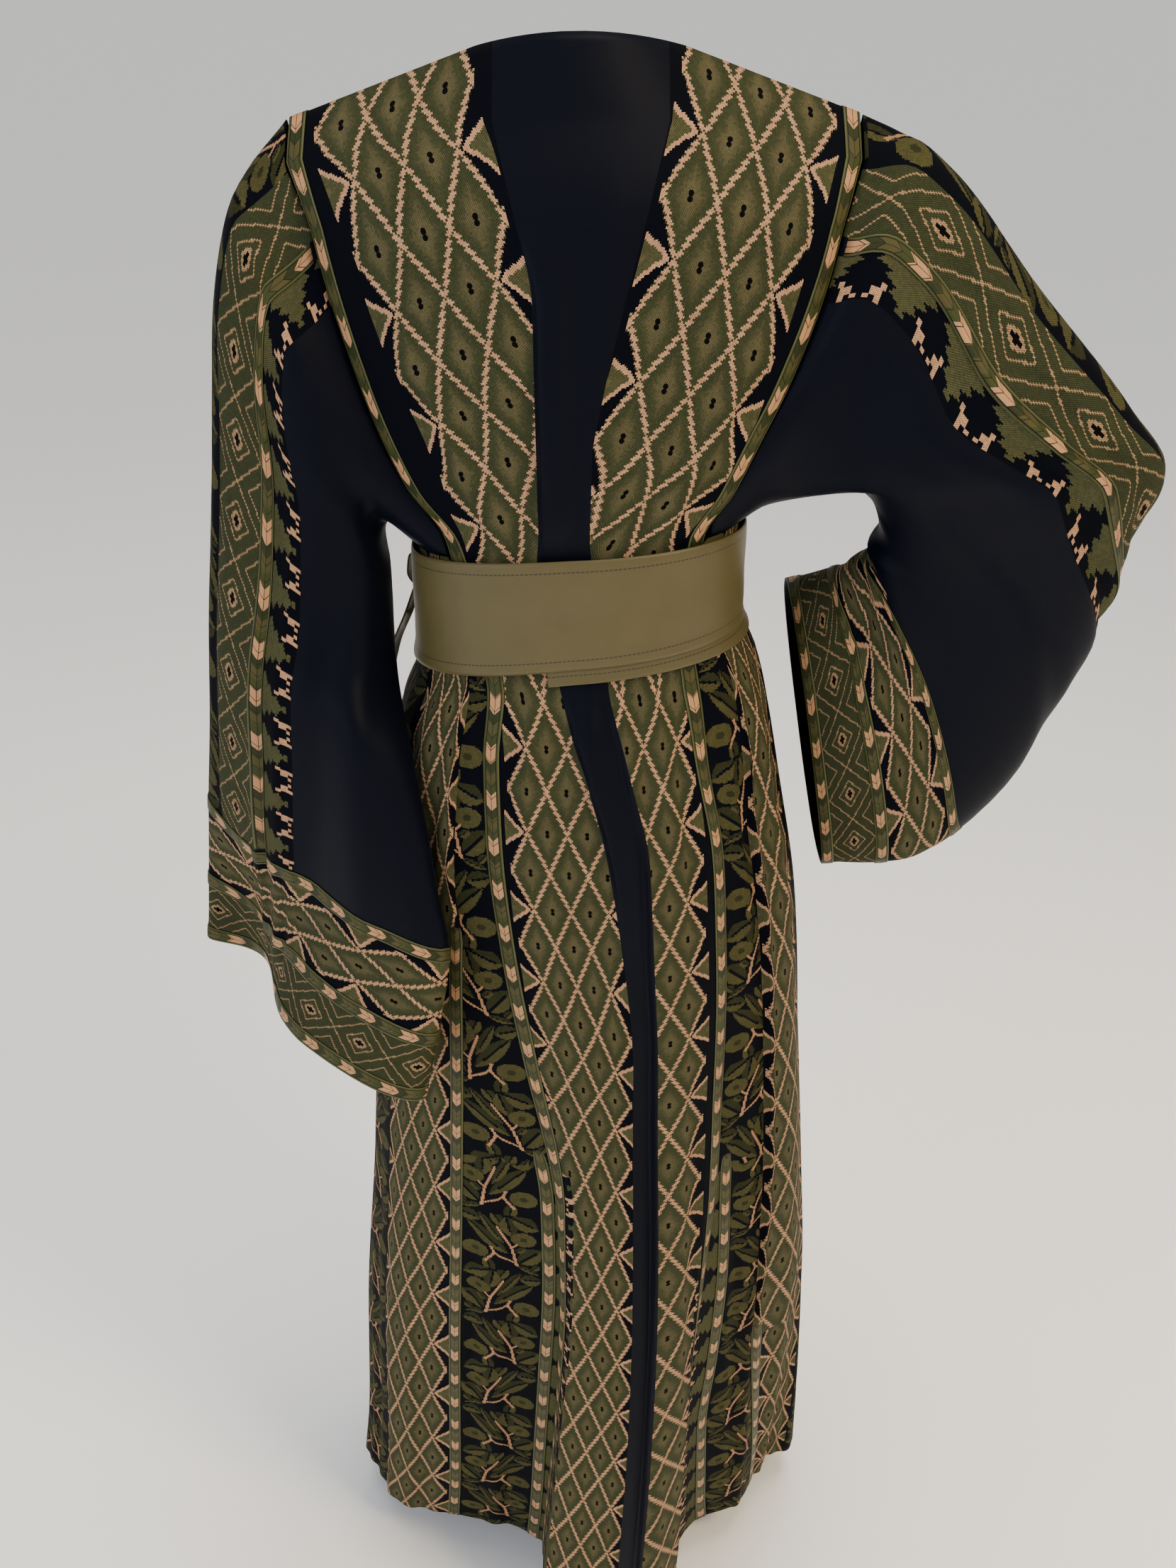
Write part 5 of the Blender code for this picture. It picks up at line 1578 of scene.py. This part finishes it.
def belt_rolls(angle, down):
    """Soft rolls along the belt, and its edges eased in."""
    rolls = .35 * MM * np.sin(down * 9 + 1.5 * np.sin(angle * 2)) * np.sin(down * math.pi)
    edge = np.clip(np.minimum(down, 1 - down) / .05, 0, 1)
    return rolls - .5 * MM * (1 - edge)**2


TIE_WIDTH = 0.012
KNOT_SIZE = (0.014, 0.028, 0.022)       # out from the belt, along it, up
KNOT_ANGLE = math.radians(-117)
KNOT_DROP = 0.402
UP = np.array((0, 0, 1))
# Each tie's path from the knot's middle: out from the belt, along it, and up.
TIES = {
    "tie_loop_upper": ((.0075, -.006, .005), (.013, -.008, .013), (.023, -.008, .008),
                       (.025, -.007, -.008), (.017, -.006, -.016), (.0075, -.006, -.006)),
    "tie_loop_lower": ((.004, .000, -.0115), (.012, -.003, -.026), (.016, -.004, -.044),
                       (.009, -.004, -.056), (.000, -.003, -.044), (-.001, -.001, -.0115)),
    "tie_end": ((.004, .0135, -.0115), (.014, .014, -.035), (.030, .012, -.065),
                (.040, .010, -.092)),
}


def knot_frame():
    """The knot's middle, and the directions out from the belt and along it."""
    lift = BELT_LIFT + BELT + SEAM + KNOT_SIZE[0] / 2
    middle = ring_point(KNOT_ANGLE, KNOT_DROP, lift)
    _, _, nx, ny = section_shape(KNOT_ANGLE, KNOT_DROP)
    return middle, np.array((nx, ny, 0)), np.array((-ny, nx, 0))


def build_tie(name, path):
    """A flat strap along its path, with its edges curled in a little."""
    middle, out, along = knot_frame()
    path = np.array(path)
    points = middle + path[:, :1] * out + path[:, 1:2] * along + path[:, 2:] * UP
    reached = lengths(points)
    at = np.linspace(0, reached[-1], TIE_POINTS[0])
    line = np.stack([smooth_at(at, reached, points[:, k]) for k in range(3)], -1)
    ahead = unit(np.gradient(line, axis=0))
    face = np.cross(np.broadcast_to(along, ahead.shape), ahead)
    place = np.linspace(-.5, .5, TIE_POINTS[1])
    curl = (4 * place**2 - .5) * .6 * MM
    grid = (line[:, None] + place[None, :, None] * TIE_WIDTH * along
            + curl[None, :, None] * face[:, None])
    away = (0.5 - np.abs(place)) * TIE_WIDTH / MM
    bands = [((0, len(at)), (0, len(place)), 0, away[None, :], at[:, None])]
    wall(name, grid, bands, BELT, False, (TIE_SATIN,))


def build_knot():
    """A rounded block with two shallow grooves where the strap crosses itself."""
    middle, out, along = knot_frame()
    mesh = bmesh.new()
    bmesh.ops.create_cube(mesh, size=1)
    bmesh.ops.subdivide_edges(mesh, edges=mesh.edges, cuts=11, use_grid_fill=True)
    for vertex in mesh.verts:
        x, y, z = vertex.co * 2
        round_off = (x**4 + y**4 + z**4)**.25
        groove = (1 - .09 * math.exp(-((y - .35 * z - .25) / .13)**2)
                  - .07 * math.exp(-((y + .5 * z + .45) / .12)**2))
        place = np.array((x, y, z)) / round_off * groove / 2
        vertex.co = (middle + place[0] * KNOT_SIZE[0] * out + place[1] * KNOT_SIZE[1] * along
                     + place[2] * KNOT_SIZE[2] * UP)
    bmesh.ops.recalc_face_normals(mesh, faces=mesh.faces)
    for face in mesh.faces:
        face.smooth = True
    stand_in(new_piece(mesh, "tie_knot", (TIE_SATIN,)), "tie_knot")


# ---- The whole dress ------------------------------------------------------------------------

build_back()
build_front()
for side in ("left", "right"):
    build_side(side)
    build_sleeve(side)
build_belt()
for name, path in TIES.items():
    build_tie(name, path)
build_knot()


# ---- Room -----------------------------------------------------------------------------------

FLOOR_REACH, FLAT_REACH, FLOOR_RISE = 90.0, 9.0, 40.0      # flat near the dress, then a bowl
FLOOR_GAP = 0.055       # from the hem down to the floor
LAMPS = {
    "columns": ("name", "place", "aim", "size", "power", "colour"),
    "rows": (
        ("key", (1.7, -1.5, 1.5), (0.05, 0, -.35), 0.9, 50, "ffe6bd"),
        ("fill", (-2.2, -2.0, 0.6), (0, 0, -.8), 2.4, 44, "e0eaff"),
        ("top", (0.4, -0.2, 2.4), (0, 0, -.6), 1.4, 42, "fff6e6"),
    ),
}


def build_floor():
    mesh = bmesh.new()
    bmesh.ops.create_grid(mesh, x_segments=60, y_segments=60, size=FLOOR_REACH)
    for vertex in mesh.verts:
        away = max(0, math.hypot(vertex.co.x, vertex.co.y) - FLAT_REACH) / FLOOR_REACH
        vertex.co.z = FLOOR_RISE * away**2 - HEM_DROP - FLOOR_GAP
    for face in mesh.faces:
        face.smooth = True
    paper, _, surface = new_finish("floor_matt_paper")
    surface.inputs["Base Color"].default_value = linear("f6f5f3")
    surface.inputs["Roughness"].default_value = 0.9
    floor = new_piece(mesh, "floor", (paper,))
    return floor


def new_lamp(name, kind, power):
    lamp = bpy.data.lights.new(name, kind)
    lamp.energy = power
    made = bpy.data.objects.new(name, lamp)
    bpy.context.scene.collection.objects.link(made)
    return made


def studio(floor):
    """Soft lamps round the dress, and one for the floor alone, so that the floor is nearly
    white behind the dark cloth."""
    world = bpy.data.worlds.new("studio")
    bpy.context.scene.world = world
    world.use_nodes = True
    world.node_tree.nodes["Background"].inputs[0].default_value = linear("f4f4f4")
    world.node_tree.nodes["Background"].inputs[1].default_value = 0.46
    for name, place, aim, size, power, colour in LAMPS["rows"]:
        made = new_lamp(name, "AREA", power)
        made.data.shape = "SQUARE"
        made.data.size = size
        made.data.color = linear(colour)[:3]
        made.location = place
        made.rotation_euler = (Vector(aim) - Vector(place)).to_track_quat("-Z", "Y").to_euler()
    made = new_lamp("floor_lamp", "SUN", 1.1)
    made.data.angle = math.radians(30)
    only = bpy.data.collections.new("floor_only")
    only.objects.link(floor)
    made.light_linking.receiver_collection = only


def camera():
    data = bpy.data.cameras.new("camera")
    data.lens = 35
    data.sensor_width = 36
    made = bpy.data.objects.new("camera", data)
    bpy.context.scene.collection.objects.link(made)
    made.location = (0.005, -1.16, 0.0)
    made.rotation_euler = (math.radians(63.7), 0, 0)
    bpy.context.scene.camera = made


studio(build_floor())
camera()
